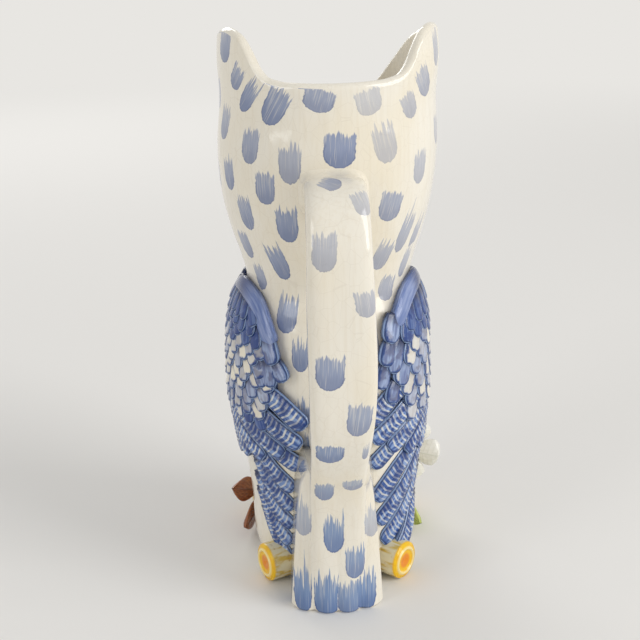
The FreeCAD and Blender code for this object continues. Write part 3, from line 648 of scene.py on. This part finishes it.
def feather(line, width, low, lift, crown, tilt, barbs, rows, swelling):
    """A feather's closed grid on the belly and its own places (across, along, mm from root).

    The centre line runs through (degrees, height) points from root to tip. A section stands
    low + lift * v + tilt * u + crown * (1 - u^2) over the wall, with u across from -1 to 1 and
    v along from 0 to 1, less a round at the edges, and a sole sunk in the wall. Barbs are a
    sine ripple along the feather that slants back from its middle, and the whole rides on the
    wing's swelling.
    """
    line = np.array(line, float)
    flat = as_points(np.radians(line[:, 0]) * belly_radius, line[:, 1])
    length = run_of(flat)[-1]
    v = np.sin(np.linspace(0, np.pi / 2, rows)) ** 1.2
    along = v * length
    middle, heading = on_line(flat, along)
    tip = min(0.7, 0.52 * width / length)
    half = (width / 2 * (0.3 + 0.5 * rising(0, 0.07, v) + 0.2 * rising(0.05, 0.4, v))
            * (1 - np.clip((v - 1 + tip) / tip, 0, 0.999) ** 2.3) ** 0.5)
    top = np.sin(np.linspace(-np.pi / 2, np.pi / 2, 19))
    u = np.concatenate([top, (0.6, 0.0, -0.6)])
    v, along = v[:, None], along[:, None]
    ripple = barbs * barb_height * np.sin(2 * np.pi * (along + 1.2 * np.abs(u)) / barb_pitch)
    rise = (low + lift * v + tilt * u + crown * (1 - u ** 2) + ripple * (1 - u ** 4)
            * rising(1.0, 0.8, v) - edge_round * np.maximum(u ** 8, v ** 20))
    rise = np.where(np.arange(len(u)) < len(top), rise, -feather_sink)
    side = middle[:, None] + (u * half[:, None])[:, :, None] * as_points(
        -heading[:, 1], heading[:, 0])[:, None]
    height = side[:, :, 1]
    grid = round_the_axis(wall_radius(height) + through(swelling, height) + rise,
                          np.degrees(side[:, :, 0] / belly_radius), height)
    return grid, as_points(u, v, along)


# The quills below the wing, from the lowest up: (degrees, height) points, the width, and how
# far the tip is lifted over what lies below it.
lower_quills = {
    "left_wing": ((((32, 36), (43, 23), (55, 10.5)), 7.8, 0),
                  (((29, 44), (42, 29), (57, 19.5)), 8.2, 0),
                  (((29, 52), (43, 37.5), (59, 28.8)), 8.6, 0),
                  (((31, 60), (45, 47), (60, 38.3)), 9.0, 0),
                  (((34, 68), (47, 57), (61.5, 48.3)), 9.4, 0),
                  (((38, 74), (54, 67.5), (68.5, 61.5)), 9.8, 0)),
    "right_wing": ((((18, 35), (36, 20.5), (53, 10)), 9, 5),
                   (((12, 48), (38, 29), (58.5, 18)), 9.8, 0),
                   (((10, 60), (42, 41.5), (62.5, 29)), 10.4, 0),
                   (((14, 68), (46, 56), (65, 41.5)), 10.8, 0),
                   (((34, 77), (53, 69), (69, 60)), 9.2, 0))}
# The wing's own quills, above those, from the lowest up.
quills = ((((-46, 84), (-28, 68), (-4, 58)), 8), (((-46, 90), (-22, 71), (14, 58)), 8),
          (((-42, 96), (-14, 77), (28, 60)), 8), (((-34, 100), (0, 82), (43, 62)), 8.6),
          (((-20, 104), (16, 86), (58.5, 67)), 9), (((10, 98), (42, 86.5), (69.5, 73)), 9.2),
          (((30, 101), (54, 94.5), (72.5, 82.5)), 9.4))
# Each wing's coverts: the heights of their rows, which stand closer at the shoulder, and their
# size, for the right wing was cut more broadly.
covert_rows = {"left_wing": (132.0 - np.cumsum([0, *[4.2] * 4, *[4.9] * 6]), 1.0),
               "right_wing": (130.0 - np.cumsum([0, *[5.2] * 3, *[6.6] * 4]), 1.35)}
# The plain shoulder band, and the larger tabs on the edge towards the tail.
shoulder_band = {"left_wing": (((-8, 135), (16, 138.5), (38, 134), (54, 119)), 7.8),
                 "right_wing": (((-4, 136), (18, 139), (38, 135), (52, 125)), 9.0)}
edge_tabs = {
    "left_wing": ((((44, 112), (46, 105), (49, 99)), 7.5),
                  (((50, 113), (52, 107), (54, 100)), 7.8),
                  (((55, 112), (58.5, 108), (62, 103.5)), 7.6),
                  (((49, 123), (52, 117), (55.5, 110.5)), 8.4)),
    "right_wing": ((((53, 100), (56.5, 95), (58, 90)), 8.5),
                   (((44, 110), (48, 104), (51, 97)), 9),
                   (((60, 110), (63, 104), (65, 98)), 7.4),
                   (((50, 119), (54, 112), (57, 104)), 9.5),
                   (((56, 120), (59, 114.5), (61.5, 108)), 9.4),
                   (((52, 130), (55.5, 124.5), (58.5, 118)), 10))}
# What the glaze needs to know of a feather: how strongly it is barred, with -1 for the plain
# shoulder band, and how much bare cream it shows, with less than 0 for a darker blue.
pad_trait = (0.0, 0.0)
lower_quill_trait = (0.8, 0.5)
quill_trait = (1.0, 0.45)
tab_trait = (0.0, 0.15)
band_trait = (-1.0, 0.0)
dark_covert = -0.8


def wing(name, mirrored, seed):
    """One wing on the owl's left side, or its mirror image, with its own scatter."""
    scatter = np.random.default_rng(seed)
    outline = np.array(pad_outline + pad_outline[:1], float)
    steps = np.arange(len(outline))
    round_it = np.linspace(0, len(pad_outline), 97)[:-1]
    edge = as_points(*(through(as_points(steps, values), round_it) for values in outline.T))
    centre = edge.mean(axis=0)
    # The pad's face grows out from its centre to its edge, and its sole comes back under it.
    grow = np.concatenate([np.sin(np.linspace(0.05, np.pi / 2, 24)),
                           np.linspace(1.0, 0.05, 6)])[:, None, None]
    flat = centre + grow * (edge - centre)
    rise = np.concatenate([pad_height * (1 - np.linspace(0.05, 1, 24) ** 6) - 0.5,
                           np.full(6, -feather_sink)])[:, None]
    rise = rise + np.where(rise > 0, through(swell[name], flat[:, :, 1]), 0)
    grids = [round_the_axis(wall_radius(flat[:, :, 1]) + rise, flat[:, :, 0], flat[:, :, 1])]
    places = [np.zeros(grids[0].shape) + (0, 0.1, 0)]
    traits = [np.broadcast_to((*pad_trait, 0.0), grids[0].shape)]

    def lay(line, width, low, lift, crown, tilt, trait, rows=18):
        """Lay one feather over those that are there, with a number of its own."""
        grid, place = feather(line, width, low, lift, crown, tilt, max(trait[0], 0), rows,
                              swell[name])
        grids.append(grid)
        places.append(place)
        traits.append(np.broadcast_to((*trait, scatter.uniform(0, 50)), grid.shape))

    # Lower quills, which come out under the wing, then the wing's own quills.
    for line, width, over in lower_quills[name]:
        lay(line, width, 0.9, 0.5 + over, 0.5, -0.55, lower_quill_trait, 56)
    for line, width in quills:
        lay(line, width, 1.7, 0.7, 0.6, -0.7, quill_trait, 70)
    # Rows of coverts down to the quills, each tip over the roots of the next row. They are
    # smaller at the shoulder, and some of those on the flat of the wing show cream.
    rows, size = covert_rows[name]
    border = as_points(*(np.interp(np.linspace(0, len(pad_outline), 400), steps, values)
                         for values in outline.T))
    for number, row in enumerate(rows):
        inside = border[np.abs(border[:, 1] - row + 3) < 2, 0]
        first, last = inside.min() + 5, inside.max() - (7 if row > 112 else 2)
        pitch = size * (8.8 if row < 124 else 7.6)
        for step in np.arange(first + number % 2 * pitch / 2, last, pitch):
            degrees = step + scatter.uniform(-1.2, 1.2)
            level = row - 0.10 * (degrees - 10) + scatter.uniform(-0.8, 0.8)
            lean = 2 + 0.10 * degrees + scatter.uniform(-3, 3)
            width = size * (7.8 if row < 124 else 6.8) + scatter.uniform(-0.5, 0.9)
            flat_of_wing = 84 < level < 119 and degrees > -30
            cream = scatter.uniform(0.2, 1.0) if flat_of_wing else dark_covert
            lay(((degrees - lean * 0.5, level + 5 * size), (degrees, level),
                 (degrees + lean * 0.5, level - 4.6 * size)), width, 1.5, 1.9, 0.6,
                scatter.uniform(-0.3, 0.3), (0.0, cream))
    for line, width in edge_tabs[name]:
        lay(line, width, 1.7, 1.7, 0.8, 0.0, tab_trait)
    line, width = shoulder_band[name]
    lay(line, width, 1.7, 0.8, 0.9, 0.0, band_trait, 40)
    if mirrored:
        grids = [grid * (-1, 1, 1) for grid in grids]
    piece = closed_surface(name + "_feathers", *grids)
    keep_vectors(piece, "plume", with_poles(*places))
    keep_vectors(piece, "trait", with_poles(*traits))
    finish_piece(piece, wing_glaze, name)


# The same cream glaze, flooded with cobalt that gathers in the hollows of the relief, with
# painted shade at the feathers' roots and a painted highlight on their raised edges.
wing_glaze, tree, place = glaze("cobalt_glaze_over_feather_relief", 0.1)
side, rise, run = kept(tree, "plume")[1:]
kind, cream, seed = kept(tree, "trait")[1:]
spot = add(tree, "CombineXYZ", side, run, seed)
bristle = marks(tree, spot, (3.5, 0.09, 1.0), 3.0)
blot = marks(tree, spot, (1.1, 0.22, 1.0), 2.0)
off_rib = add(tree, "Math ABSOLUTE", side)
from_tip = add(tree, "Math SUBTRACT", add(tree, "Math DIVIDE", run, rise), run)
rim_share = add(tree, "Math MAXIMUM", off_rib,
                add(tree, "Math MULTIPLY_ADD", from_tip, -1 / 3.8, 1.0))
wash = washes(tree, "#33569a", (bristle, 0.35, 0.65, 1.0, "#86a0cd"),
              (blot, 0.46, 0.60, 0.9, "#17397c"), (cream, 0.0, -1.0, 0.7, "#1f3b7c"))
# Pale bars where the barbs' crests stand through the blue.
bars = add(tree, "Math MULTIPLY_ADD", off_rib, 1.2, run)
bars = add(tree, "Math MULTIPLY", bars, 2 * math.pi / barb_pitch)
bars = add(tree, "MapRange", add(tree, "Math SINE", bars), 0.1, 0.8)
for share in (add(tree, "MapRange", from_tip, 1.8, 3.4), add(tree, "Math MAXIMUM", kind, 0.0),
              add(tree, "MapRange", blot, 0.62, 0.42, 0.25, 0.9)):
    bars = add(tree, "Math MULTIPLY", bars, share)
colour = add(tree, "Mix", bars, wash, "#dcdbd2")
# Bare cream in the middle of some coverts.
patch = add(tree, "Math MULTIPLY_ADD", rim_share, rim_share, blot)
patch = add(tree, "Math MULTIPLY", add(tree, "MapRange", patch, 1.0, 0.72), cream)
patch = add(tree, "Math MULTIPLY", patch, add(tree, "MapRange", kind, 0.4, 0.1))
colour = add(tree, "Mix", patch, colour, "#ece4d0")
# Dark inside each raised edge, and pale on it, where the glaze breaks thin and a highlight is
# painted.
colour = washes(tree, colour, (rim_share, 0.60, 0.80, 0.9, "#173468"))
bead = add(tree, "Math MULTIPLY", add(tree, "MapRange", rim_share, 0.80, 0.88),
           add(tree, "MapRange", rim_share, 1.0, 0.95))
colour = add(tree, "Mix", add(tree, "Math MULTIPLY", bead, 0.7), colour, "#90a9d2")
# Darkest at the root under the next feather, where cobalt pools and shade is painted, save on
# the lower quills, which lie bare.
lies_bare = add(tree, "Math COMPARE", kind, lower_quill_trait[0], 0.05)
root = add(tree, "MapRange", lies_bare, 0.0, 1.0, 0.5, 0.16)
colour = washes(tree, colour, (rise, root, 0.05, 0.92, "#0b1c47"))
# The shoulder band is smooth, and dark where it comes round from the breast.
band = washes(tree, "#5c72a8", (bristle, 0.3, 0.7, 1.0, "#8f9dc4"),
              (rise, 0.62, 0.35, 0.85, "#1a2f66"))
colour = washes(tree, colour, (kind, -0.2, -0.8, 1.0, band))
coat(tree, colour, (0.12, bristle), (0.4, bead))
wing("left_wing", False, 5)
wing("right_wing", True, 8)

# The eyes
# Two press-moulded discs on the front of the head, each a domed eyeball inside a raised ring,
# painted with a dark pupil, a yellow iris and a ring of cobalt strokes.

eye_turn = 26.0
ball_radius = 8.6
ball_rise = 4.2
ring_inner = 9.5
ring_outer = 13.5
ring_rise = 3.4
pupil_radius = 4.4


def about_axis(profile, place, axis):
    """A grid of a profile of (radius, rise) rows turned about an axis through a place, and the
    same grid in the piece's own millimetres: two across and one along the axis."""
    axis = np.array(axis, float) / np.linalg.norm(axis)
    first = np.cross((0, 0, 1), axis)
    first /= np.linalg.norm(first)
    spin = circle(96)
    radius, rise = np.array(profile, float).T[:, :, None]
    own = as_points(radius * np.cos(spin), radius * np.sin(spin), rise)
    return np.array(place) + own @ np.stack([first, np.cross(axis, first), axis]), own


def from_axis(tree):
    """A turned piece's own place, and how far that is from its axis and along it, in mm."""
    own, rise = kept(tree, "own")[::3]
    flat = add(tree, "VectorMath MULTIPLY", own, (1.0, 1.0, 0.0))
    return own, add(tree, "VectorMath LENGTH", flat), rise


def glazed_piece(label, material, slot, node, *skins):
    """One finished piece of closed skins, each a grid and its own places for the glaze."""
    grids, owns = zip(*skins)
    piece = closed_surface(label, *grids)
    keep_vectors(piece, "own", with_poles(*owns))
    finish_piece(piece, material, node)


# White glaze under yellow, blue-black and cobalt brushwork, all under one clear coat.
eye_glaze, tree, place = glaze("eye_painted_under_clear_glaze", 0.07)
own, radius, rise = from_axis(tree)
spokes = add(tree, "TexNoise", add(tree, "VectorMath NORMALIZE", own), 9.0, 2.0)
strokes = washes(tree, "#445c9f", (spokes, 0.42, 0.56, 1.0, "#c9cede"))
coat(tree, washes(tree, "#f2b705", (spokes, 0.35, 0.65, 1.0, "#f7d23c"),
                  (radius, 6.8, 8.6, 0.8, "#b4661a"),
                  (radius, pupil_radius, pupil_radius - 0.3, 1.0, "#171a26"),
                  (radius, 8.4, 8.9, 1.0, "#28315c"), (radius, 9.6, 10.2, 1.0, strokes)),
     (0.08, spokes))
dome = np.linspace(0.25, ball_radius, 22)
ring = np.linspace(0, 1, 18)
eye_profile = np.concatenate([
    as_points(dome, ball_rise * np.sqrt(np.maximum(1 - (dome / ball_radius) ** 2, 0))),
    as_points(ring_inner + (ring_outer - ring_inner) * ring,
              ring_rise * np.sin(np.pi * np.clip(ring, 0, 0.93)) ** 0.8),
    [(ring_outer - 0.05, -1.0), (ring_outer - 0.3, -6.0)]])
for name, sign in (("left_eye", 1), ("right_eye", -1)):
    aside = sign * math.radians(eye_turn)
    away = np.array((math.sin(aside), -math.cos(aside), 0))
    grid, own = about_axis(eye_profile, away * wall_radius(eye_level) + (0, 0, eye_level), away)
    glazed_piece(name + "_disc", eye_glaze, "eye_glaze", name, (rooted(grid), own))

# The beak
# A hooked beak modelled by hand below the lip, with a sharp upper ridge and two nostrils
# pressed in with a tool, glazed ochre.

# Distance forward, height and half height of the beak's sections, from root to tip.
beak_line = ((38, 190.4, 8.8), (44, 190, 8.4), (53, 189.3, 7.2), (59.3, 184, 5.1),
             (61.2, 178, 2.6), (60.9, 174.6, 0.9), (60.7, 174.0, 0.3))
beak_narrow = 0.78
# Where each nostril is pressed in: distance along the beak, and how far round its side.
nostril_along = 14.0
nostril_round = 0.62
beak = np.array(beak_line, float)
stop = run_of(beak[:, :2])
along = np.linspace(0, stop[-1], 70)
middle, heading = on_line(beak[:, :2], along)
half = through(as_points(stop, beak[:, 2]), along)[:, None]
spin = circle(64)
nostril = (np.exp(-((along[:, None] - nostril_along) / 1.3) ** 2
                  - ((np.abs(np.cos(spin)) - nostril_round) / 0.16) ** 2) * (np.sin(spin) > 0))
flank = (half * beak_narrow * np.cos(spin) * (1 - 0.22 * np.maximum(np.sin(spin), 0))
         * (1 - 0.16 * nostril))
crest = half * np.sin(spin) * (1 - 0.10 * nostril)
beak_grid = rooted(as_points(flank, crest * heading[:, 1:] - middle[:, :1],
                             middle[:, 1:] + crest * heading[:, :1]))
# Ochre glaze that pools brown in the nostrils and the toes' nicks, and is brushed dark on the
# beak's hook and on the claws.
ochre_glaze, tree, place = glaze("ochre_glaze", 0.1)
claw, dent, shade = kept(tree, "own")[1:]
drift = marks(tree, place, features(1.6 * MM, 7 * MM), 3.0)
coat(tree, washes(tree, "#e0a425", (drift, 0.3, 0.7, 1.0, "#c98a1c"),
                  (shade, 0.0, 1.0, 0.75, "#9a5d1a"), (dent, 0.25, 0.8, 1.0, "#4a2c14"),
                  (claw, 0.0, 1.0, 0.94, "#3a2a20")), (0.15, drift))
hook = rising(0.55, 1.0, along / along[-1])[:, None]
glazed_piece("hooked_beak", ochre_glaze, "ochre_glaze", "beak",
             (beak_grid, as_points(0.0, nostril, hook)))

# The perch and its branch stubs
# A bowed branch across the front of the foot, and two sawn stubs beside the tail, rolled from
# clay, scored like bark and glazed yellow, with a raised growth ring on each sawn face.

perch_radius = 9.6
perch_half_length = 38.0
perch_forward = 45.0
perch_bow = 9.0
perch_bend = (perch_half_length ** 2 + perch_bow ** 2) / (2 * perch_bow)
perch_rows = 120
perch_pitch = 0.66
bark_depth = 0.35
sawn_edge = 1.2
stub_radius = 8.9
stub_length = 14.0
growth_ring = 6.0
growth_ring_bead = 0.9


def tube(line, radius, side, columns=64):
    """A grid of round sections on a line of points that lies square to one side vector, and
    each point's own (angle's cosine, angle's sine, mm along)."""
    heading = np.gradient(line, axis=0)
    heading /= np.linalg.norm(heading, axis=1, keepdims=True)
    spin = circle(columns)
    grid = line[:, None] + np.broadcast_to(radius, (len(line), columns))[:, :, None] * (
        np.cos(spin)[:, None] * np.array(side, float)
        + np.sin(spin)[:, None] * np.cross(heading, side)[:, None])
    return grid, as_points(np.cos(spin), np.sin(spin), run_of(line)[:, None])


# Yellow and ochre glazes brushed over cream, orange in the heart of each sawn face, with a
# painted highlight where its ring stands up.
branch_glaze, tree, place = glaze("yellow_branch_glaze", 0.1)
own, radius, rise = from_axis(tree)
grain = marks(tree, place, features(2.4 * MM), 3.0)
brushed = marks(tree, own, features(2.2, 9.0), 3.0)
log_colour = washes(tree, "#ece2c0", (brushed, 0.46, 0.68, 1.0, "#d9b955"),
                    (grain, 0.56, 0.8, 0.6, "#a87a3a"))
face_colour = washes(tree, "#f3c400", (grain, 0.3, 0.7, 1.0, "#eeb509"),
                     (radius, 4.4, 2.6, 1.0, "#e98a10"))
# A painted highlight on the raised growth ring of each sawn face.
ring_highlight = add(tree, "Math MULTIPLY", add(tree, "MapRange", radius, 5.0, 5.7),
           add(tree, "MapRange", radius, 7.2, 6.4))
face_colour = add(tree, "Mix", add(tree, "Math MULTIPLY", ring_highlight, 0.75), face_colour, "#f9ecae")
sawn = add(tree, "Math MULTIPLY", add(tree, "MapRange", rise, -1.6, -0.5),
           add(tree, "MapRange", radius, 10.1, 9.4))
coat(tree, add(tree, "Mix", sawn, log_colour, face_colour), (0.25, brushed))
# The perch: an arc of round sections whose bark is a sum of sines, closed flat at both ends.
swing = np.arcsin(perch_half_length / perch_bend)
sweep = np.linspace(-swing, swing, perch_rows)
line = as_points(perch_bend * np.sin(sweep), perch_bend * (1 - np.cos(sweep)) - perch_forward,
                 perch_radius)
steps = np.arange(perch_rows)[:, None]
along = steps * perch_pitch
spin = circle(64)
ridges = (np.sin(7 * spin + 0.21 * along) + 0.6 * np.sin(11 * spin - 0.33 * along)
          + 0.5 * np.sin(3 * spin + 0.5 * along))
from_end = np.minimum(steps, perch_rows - 1 - steps)
shrink = np.select([from_end == 0, from_end == 1, from_end == 2], [0.35, 0.8, 0.96], 1.0)
line[:3] = line[2] + (line[:3] - line[2]) * np.array([0.02, 0.02, 0.0])[:, None]
line[-3:] = line[-3] + (line[-3:] - line[-3]) * np.array([0.0, 0.02, 0.02])[:, None]
radius = (perch_radius + bark_depth * (ridges - 2)) * shrink
grid, own = tube(line, radius, (0, 0, 1))
own[..., :2] *= radius[..., None]
own[..., 2] = np.where(from_end < 2, 0.0, -2.0 - along)
grid[..., 2] = np.maximum(grid[..., 2], 0.05)
glazed_piece("perch_log", branch_glaze, "branch_glaze", "perch_branch", (grid, own))
# The stubs: a sawn face with its ring and a sunk heart, a rounded edge and a plain side.
disc = np.linspace(0.3, stub_radius - sawn_edge, 26)
bend = np.linspace(0, np.pi / 2, 6)
back = np.linspace(sawn_edge + 0.5, stub_length, 24)
bead = growth_ring_bead * np.exp(-((disc - growth_ring) / 0.75) ** 2)
heart = -0.5 * np.exp(-(disc / 1.6) ** 2)
stub_profile = np.concatenate([
    as_points(disc, bead + heart),
    as_points(stub_radius - sawn_edge * (1 - np.sin(bend)), sawn_edge * (np.cos(bend) - 1)),
    as_points(stub_radius, -back)])
for name, across, reach, degrees in (("left_stub", 33.8, 30.2, 26.0),
                                     ("right_stub", -31.0, 34.5, 138.0)):
    facing = math.radians(degrees)
    grid, own = about_axis(stub_profile, (across, reach, stub_radius),
                           (math.cos(facing), math.sin(facing), 0))
    grid[..., 2] = np.maximum(grid[..., 2], 0.02)
    glazed_piece(name + "_log", branch_glaze, "branch_glaze", name, (rooted(grid), own))

# The feet
# Three toes each, rolled between the fingers, curled over the perch and nicked at the joints,
# with a dark claw. They take the ochre glaze of the beak.

toe_radius = 4.0
toe_spacing = 7.6
toe_sink = 2.0
foot_across = 15.0
toe_bend = perch_radius + toe_radius - toe_sink
toe_from = 125.0
toe_to = 8.0
# Degrees round the toe's bend of its last knuckle, and from each to the next.
last_knuckle = 14.0
knuckle_pitch = 38.0
claw_length = 8.5
for name, sign in (("left_foot", 1), ("right_foot", -1)):
    skins = []
    for step in (-1, 0, 1):
        across = sign * foot_across + step * toe_spacing
        ahead = perch_bend - math.sqrt(perch_bend ** 2 - across ** 2) - perch_forward
        degrees = np.linspace(toe_from, toe_to, 60)
        angle = np.radians(degrees)
        finger = as_points(across, ahead - toe_bend * np.cos(angle),
                           perch_radius + toe_bend * np.sin(angle))
        drop = np.linspace(0, 1, 24)[1:, None]
        claw = finger[-1] + drop * claw_length * (0, 0.2, -1) + drop * (1 - drop) * (0, -1.6, 0)
        knuckle = np.pi * (degrees[:, None] - last_knuckle) / knuckle_pitch
        radius = np.concatenate([toe_radius - 0.2 + 0.3 * np.cos(knuckle) ** 2,
                                 (toe_radius - 1.3) * (1 - drop) ** 0.7 + 0.25])
        radius[0] = 0.5
        grid, own = tube(np.concatenate([finger, claw]), radius, (1, 0, 0), 32)
        # The glaze goes by the claw, then by nostrils, of which a toe has none, then by nicks.
        own[..., 0] = rising(59.5, 61.5, np.arange(len(grid)))[:, None]
        own[..., 1] = 0
        own[..., 2] = np.concatenate([np.sin(knuckle) ** 24, 0 * drop])
        skins.append((grid, own))
    glazed_piece(name + "_toes", ochre_glaze, "ochre_glaze", name, *skins)

# The flower and its leaves
# A five-petalled flower sprigged on by a thick stalk over the perch's end, and three leaves
# at the perch's ends, each pressed out thin with a rib down its middle.

flower_spot = np.array((-40.0, -33.0, 34.0))
flower_turn = 14.0
petal_reach = 17.6
petal_half = 7.4
petal_thick = 1.7
flower_centre_radius = 6.2
first_petal = 188
petal_root = 1.5
petal_outline = ((0, 1.6), (0.3, 4.6), (0.65, petal_half), (0.88, 6.2), (0.97, 3.4), (1.0, 0.3))
leaf_thick = 1.3
leaf_outline = ((0, 0.6), (0.12, 2.6), (0.35, 5.6), (0.55, 6.4), (0.8, 4.2), (0.93, 1.9),
                (1.0, 0.3))
stalk_foot = np.array((-26.2, -21.6, 32.6))


def blade(root, ahead, across, outline, thick, cup, curl):
    """A thin blade's grid from its root, and its own (across, along) places from -1 and 0 to 1.

    outline gives the half width at shares of the length, and the blade rises over its plane
    as cup * (u^2 - 1) * v + curl * v^3 + a rib along its middle.
    """
    normal = np.cross(ahead, across)
    normal /= np.linalg.norm(normal)
    v = np.sin(np.linspace(0.02, np.pi / 2, 44))[:, None] ** 1.3
    spin = circle(40)
    u = np.cos(spin)
    half = through(outline, v)
    rise = (cup * (u ** 2 - 1) * v + curl * v ** 3 + 0.5 * np.exp(-(u / 0.14) ** 2)
            * (np.sin(spin) > 0) * np.sqrt(1 - v)
            + thick * np.sin(spin) * np.minimum(1, half / 3))
    grid = (np.array(root) + v[..., None] * ahead
            + (half * u)[..., None] * np.array(across) + rise[..., None] * normal)
    return grid, as_points(u, v, 0.0)


def leaf_glaze(name, body_colour, vein_colour, edge_colour, slant):
    """A glaze brushed along a blade, with veins that run out from its rib at a slant."""
    material, tree, place = glaze(name, 0.1)
    own, side, run = kept(tree, "own")[:3]
    off_rib = add(tree, "Math ABSOLUTE", side)
    brushed = marks(tree, own, features(0.16, 1.0), 3.0)
    veins = add(tree, "Math MULTIPLY_ADD", off_rib, -slant, run)
    veins = add(tree, "Math SINE", add(tree, "Math MULTIPLY", veins, 44.0))
    veins = add(tree, "Math MULTIPLY", add(tree, "MapRange", veins, 0.75, 1.0), 0.6)
    veins = add(tree, "Math MAXIMUM", veins, add(tree, "MapRange", off_rib, 0.09, 0.03))
    colour = washes(tree, body_colour, (brushed, 0.35, 0.7, 1.0, edge_colour))
    colour = add(tree, "Mix", add(tree, "Math MULTIPLY", veins, 0.7), colour, vein_colour)
    coat(tree, washes(tree, colour, (off_rib, 0.8, 1.0, 0.6, edge_colour)), (0.15, veins))
    return material


# White glaze with a breath of green-grey from the petals' feet, as the brush was loaded.
petal_white = leaf_glaze("white_petal_glaze", "#f1efe6", "#e3e3d6", "#e8e5da", 0.1)
# Leaf greens and a rust brown, both a thin colour over cream that is paler at the edges. The
# rust brown is painted shade: the dark, warm look of leaves on the owl's shaded left side.
leaf_green = leaf_glaze("yellow_green_leaf_glaze", "#a9bd4c", "#6e8a36", "#cbd07a", 0.5)
leaf_rust_painted_shade = leaf_glaze("rust_leaf_glaze", "#7f4529", "#55291b", "#a2623a", 0.5)
aside = math.radians(flower_turn)
east = np.array((math.cos(aside), -math.sin(aside), 0))
north = np.array((0, 0, 1.0))
facing = np.cross(east, north)
skins = []
for petal in range(5):
    angle = math.radians(first_petal + 72 * petal)
    outward = math.cos(angle) * east + math.sin(angle) * north
    skins.append(blade(flower_spot + petal_root * outward, (petal_reach - petal_root) * outward,
                       np.cross(facing, outward), petal_outline, petal_thick, 1.6, 1.2))
side = np.cross(stalk_foot - flower_spot, (0, 0, 1))
grid, own = tube(np.linspace(flower_spot, stalk_foot, 12), np.linspace(4.2, 5.2, 12)[:, None],
                 side / np.linalg.norm(side), 40)
skins.append((rooted(grid), np.zeros(own.shape) + (0.5, 0.5, 0)))
glazed_piece("sprigged_flower", petal_white, "white_petal_glaze", "flower", *skins)
# The left and low leaves take the rust brown, which is painted shade.
for name, slot, material, root, tip in (
        ("right_leaf", "green_leaf_glaze", leaf_green, (-36, -31, 7.6), (-43.5, -5, 5.6)),
        ("left_leaf", "rust_leaf_glaze", leaf_rust_painted_shade, (36, -30, 16), (48.5, -12, 26)),
        ("low_leaf", "rust_leaf_glaze", leaf_rust_painted_shade, (36, -31, 8.5), (43, -5, 8))):
    ahead = np.array(tip, float) - root
    upright = np.cross(ahead, np.cross((0, 0, 1), ahead))
    upright /= np.linalg.norm(upright)
    glazed_piece(name + "_blade", material, slot, name, blade(
        root, ahead, upright * (1 if tip[0] < 0 else -1), leaf_outline, leaf_thick, 1.0, 0.0))
# The flower's heart, a pressed ball of clay pricked all over and glazed yellow.
heart_glaze, tree, place = glaze("yellow_flower_heart_glaze", 0.12)
pricks = add(tree, "VectorMath MULTIPLY", place, features(1.5 * MM))
pricks = add(tree, "TexVoronoi", pricks, 1.0)
coat(tree, washes(tree, "#a9650f", (pricks, 0.12, 0.4, 1.0, "#f0b71c")),
     (0.5, add(tree, "MapRange", pricks, 0.1, 0.5)))
rows = np.linspace(0.04, np.pi / 2, 26)
heart_profile = flower_centre_radius * as_points(np.sin(rows), np.cos(rows))
glazed_piece("flower_heart", heart_glaze, "flower_centre_glaze", "flower_centre",
             about_axis(heart_profile, flower_spot, facing))

# The studio
# A pale floor and soft lamps, with the camera where the photograph was taken.

# The floor's far part and the world behind it show as one pale backdrop, to the eye and in
# glass and glaze, and neither adds light to the pitcher.
backdrop_colour = "#e8e6e2"
backdrop_from = 0.7
backdrop_to = 1.8


def backdrop(tree, share, plain):
    """A shader that shows a share of the backdrop to rays from the eye, a mirror or a glass, and
    is plain to all others."""
    seen = 0.0
    for ray in ("Is Camera Ray", "Is Glossy Ray", "Is Transmission Ray"):
        seen = add(tree, "Math MAXIMUM", seen, add(tree, "LightPath", output=ray))
    seen = add(tree, "Math MULTIPLY", seen, share)
    return add(tree, "MixShader", seen, plain, add(tree, "Emission", backdrop_colour, 1.0))


bpy.ops.mesh.primitive_plane_add(size=8.0)
floor = bpy.context.object
floor.name = "floor"
# White paper, which has no gloss.
paper, tree, place = glaze("matt_white_paper", 0.85)
shader = tree.nodes["Principled BSDF"]
shader.inputs["Specular IOR Level"].default_value = 0.1
shader.inputs["Base Color"].default_value = linear("#e9e7e3")
away = add(tree, "MapRange", add(tree, "VectorMath LENGTH", place), backdrop_from, backdrop_to)
tree.links.new(backdrop(tree, away, shader.outputs[0]),
               tree.nodes["Material Output"].inputs["Surface"])
floor.data.materials.append(paper)


def hang(name, data, place, target, roll=0.0):
    """A camera or lamp at a place, which faces a target and is rolled by degrees."""
    thing = bpy.data.objects.new(name, data)
    bpy.context.collection.objects.link(thing)
    thing.location = place
    thing.rotation_mode = "QUATERNION"
    aim = (Vector(target) - Vector(place)).to_track_quat("-Z", "Y")
    thing.rotation_quaternion = aim @ Quaternion((0, 0, 1), -math.radians(roll))
    return thing


picture_width = 640.0
focal_pixels = 1150.0
lens = bpy.data.cameras.new("camera")
lens.sensor_width = 36.0
lens.lens = focal_pixels / picture_width * lens.sensor_width
lens.clip_start = 0.01
bpy.context.scene.camera = hang("camera", lens, (0.03, 0.5, 0.29), (0.00426, 0.0, 0.11663), 1.3)
for name, place, width, height, power in (
        ("window_lamp", (-1.5, 0.9, 0.9), 0.9, 1.6, 21),
        ("fill_lamp", (1.6, 1.2, 0.8), 0.7, 1.2, 7.5),
        ("front_lamp", (0.6, -1.8, 1.1), 1.2, 1.2, 13)):
    lamp = bpy.data.lights.new(name, "AREA")
    lamp.shape = "RECTANGLE"
    lamp.size = width
    lamp.size_y = height
    lamp.energy = power
    hang(name, lamp, place, (0, 0, 0.12))
world = bpy.data.worlds.new("studio")
bpy.context.scene.world = world
world.use_nodes = True
tree = world.node_tree
sky = tree.nodes["Background"]
sky.inputs["Color"].default_value = (1, 1, 1, 1)
sky.inputs["Strength"].default_value = 0.52
tree.links.new(backdrop(tree, 1.0, sky.outputs[0]), tree.nodes["World Output"].inputs["Surface"])
bpy.context.scene.view_settings.view_transform = "Standard"
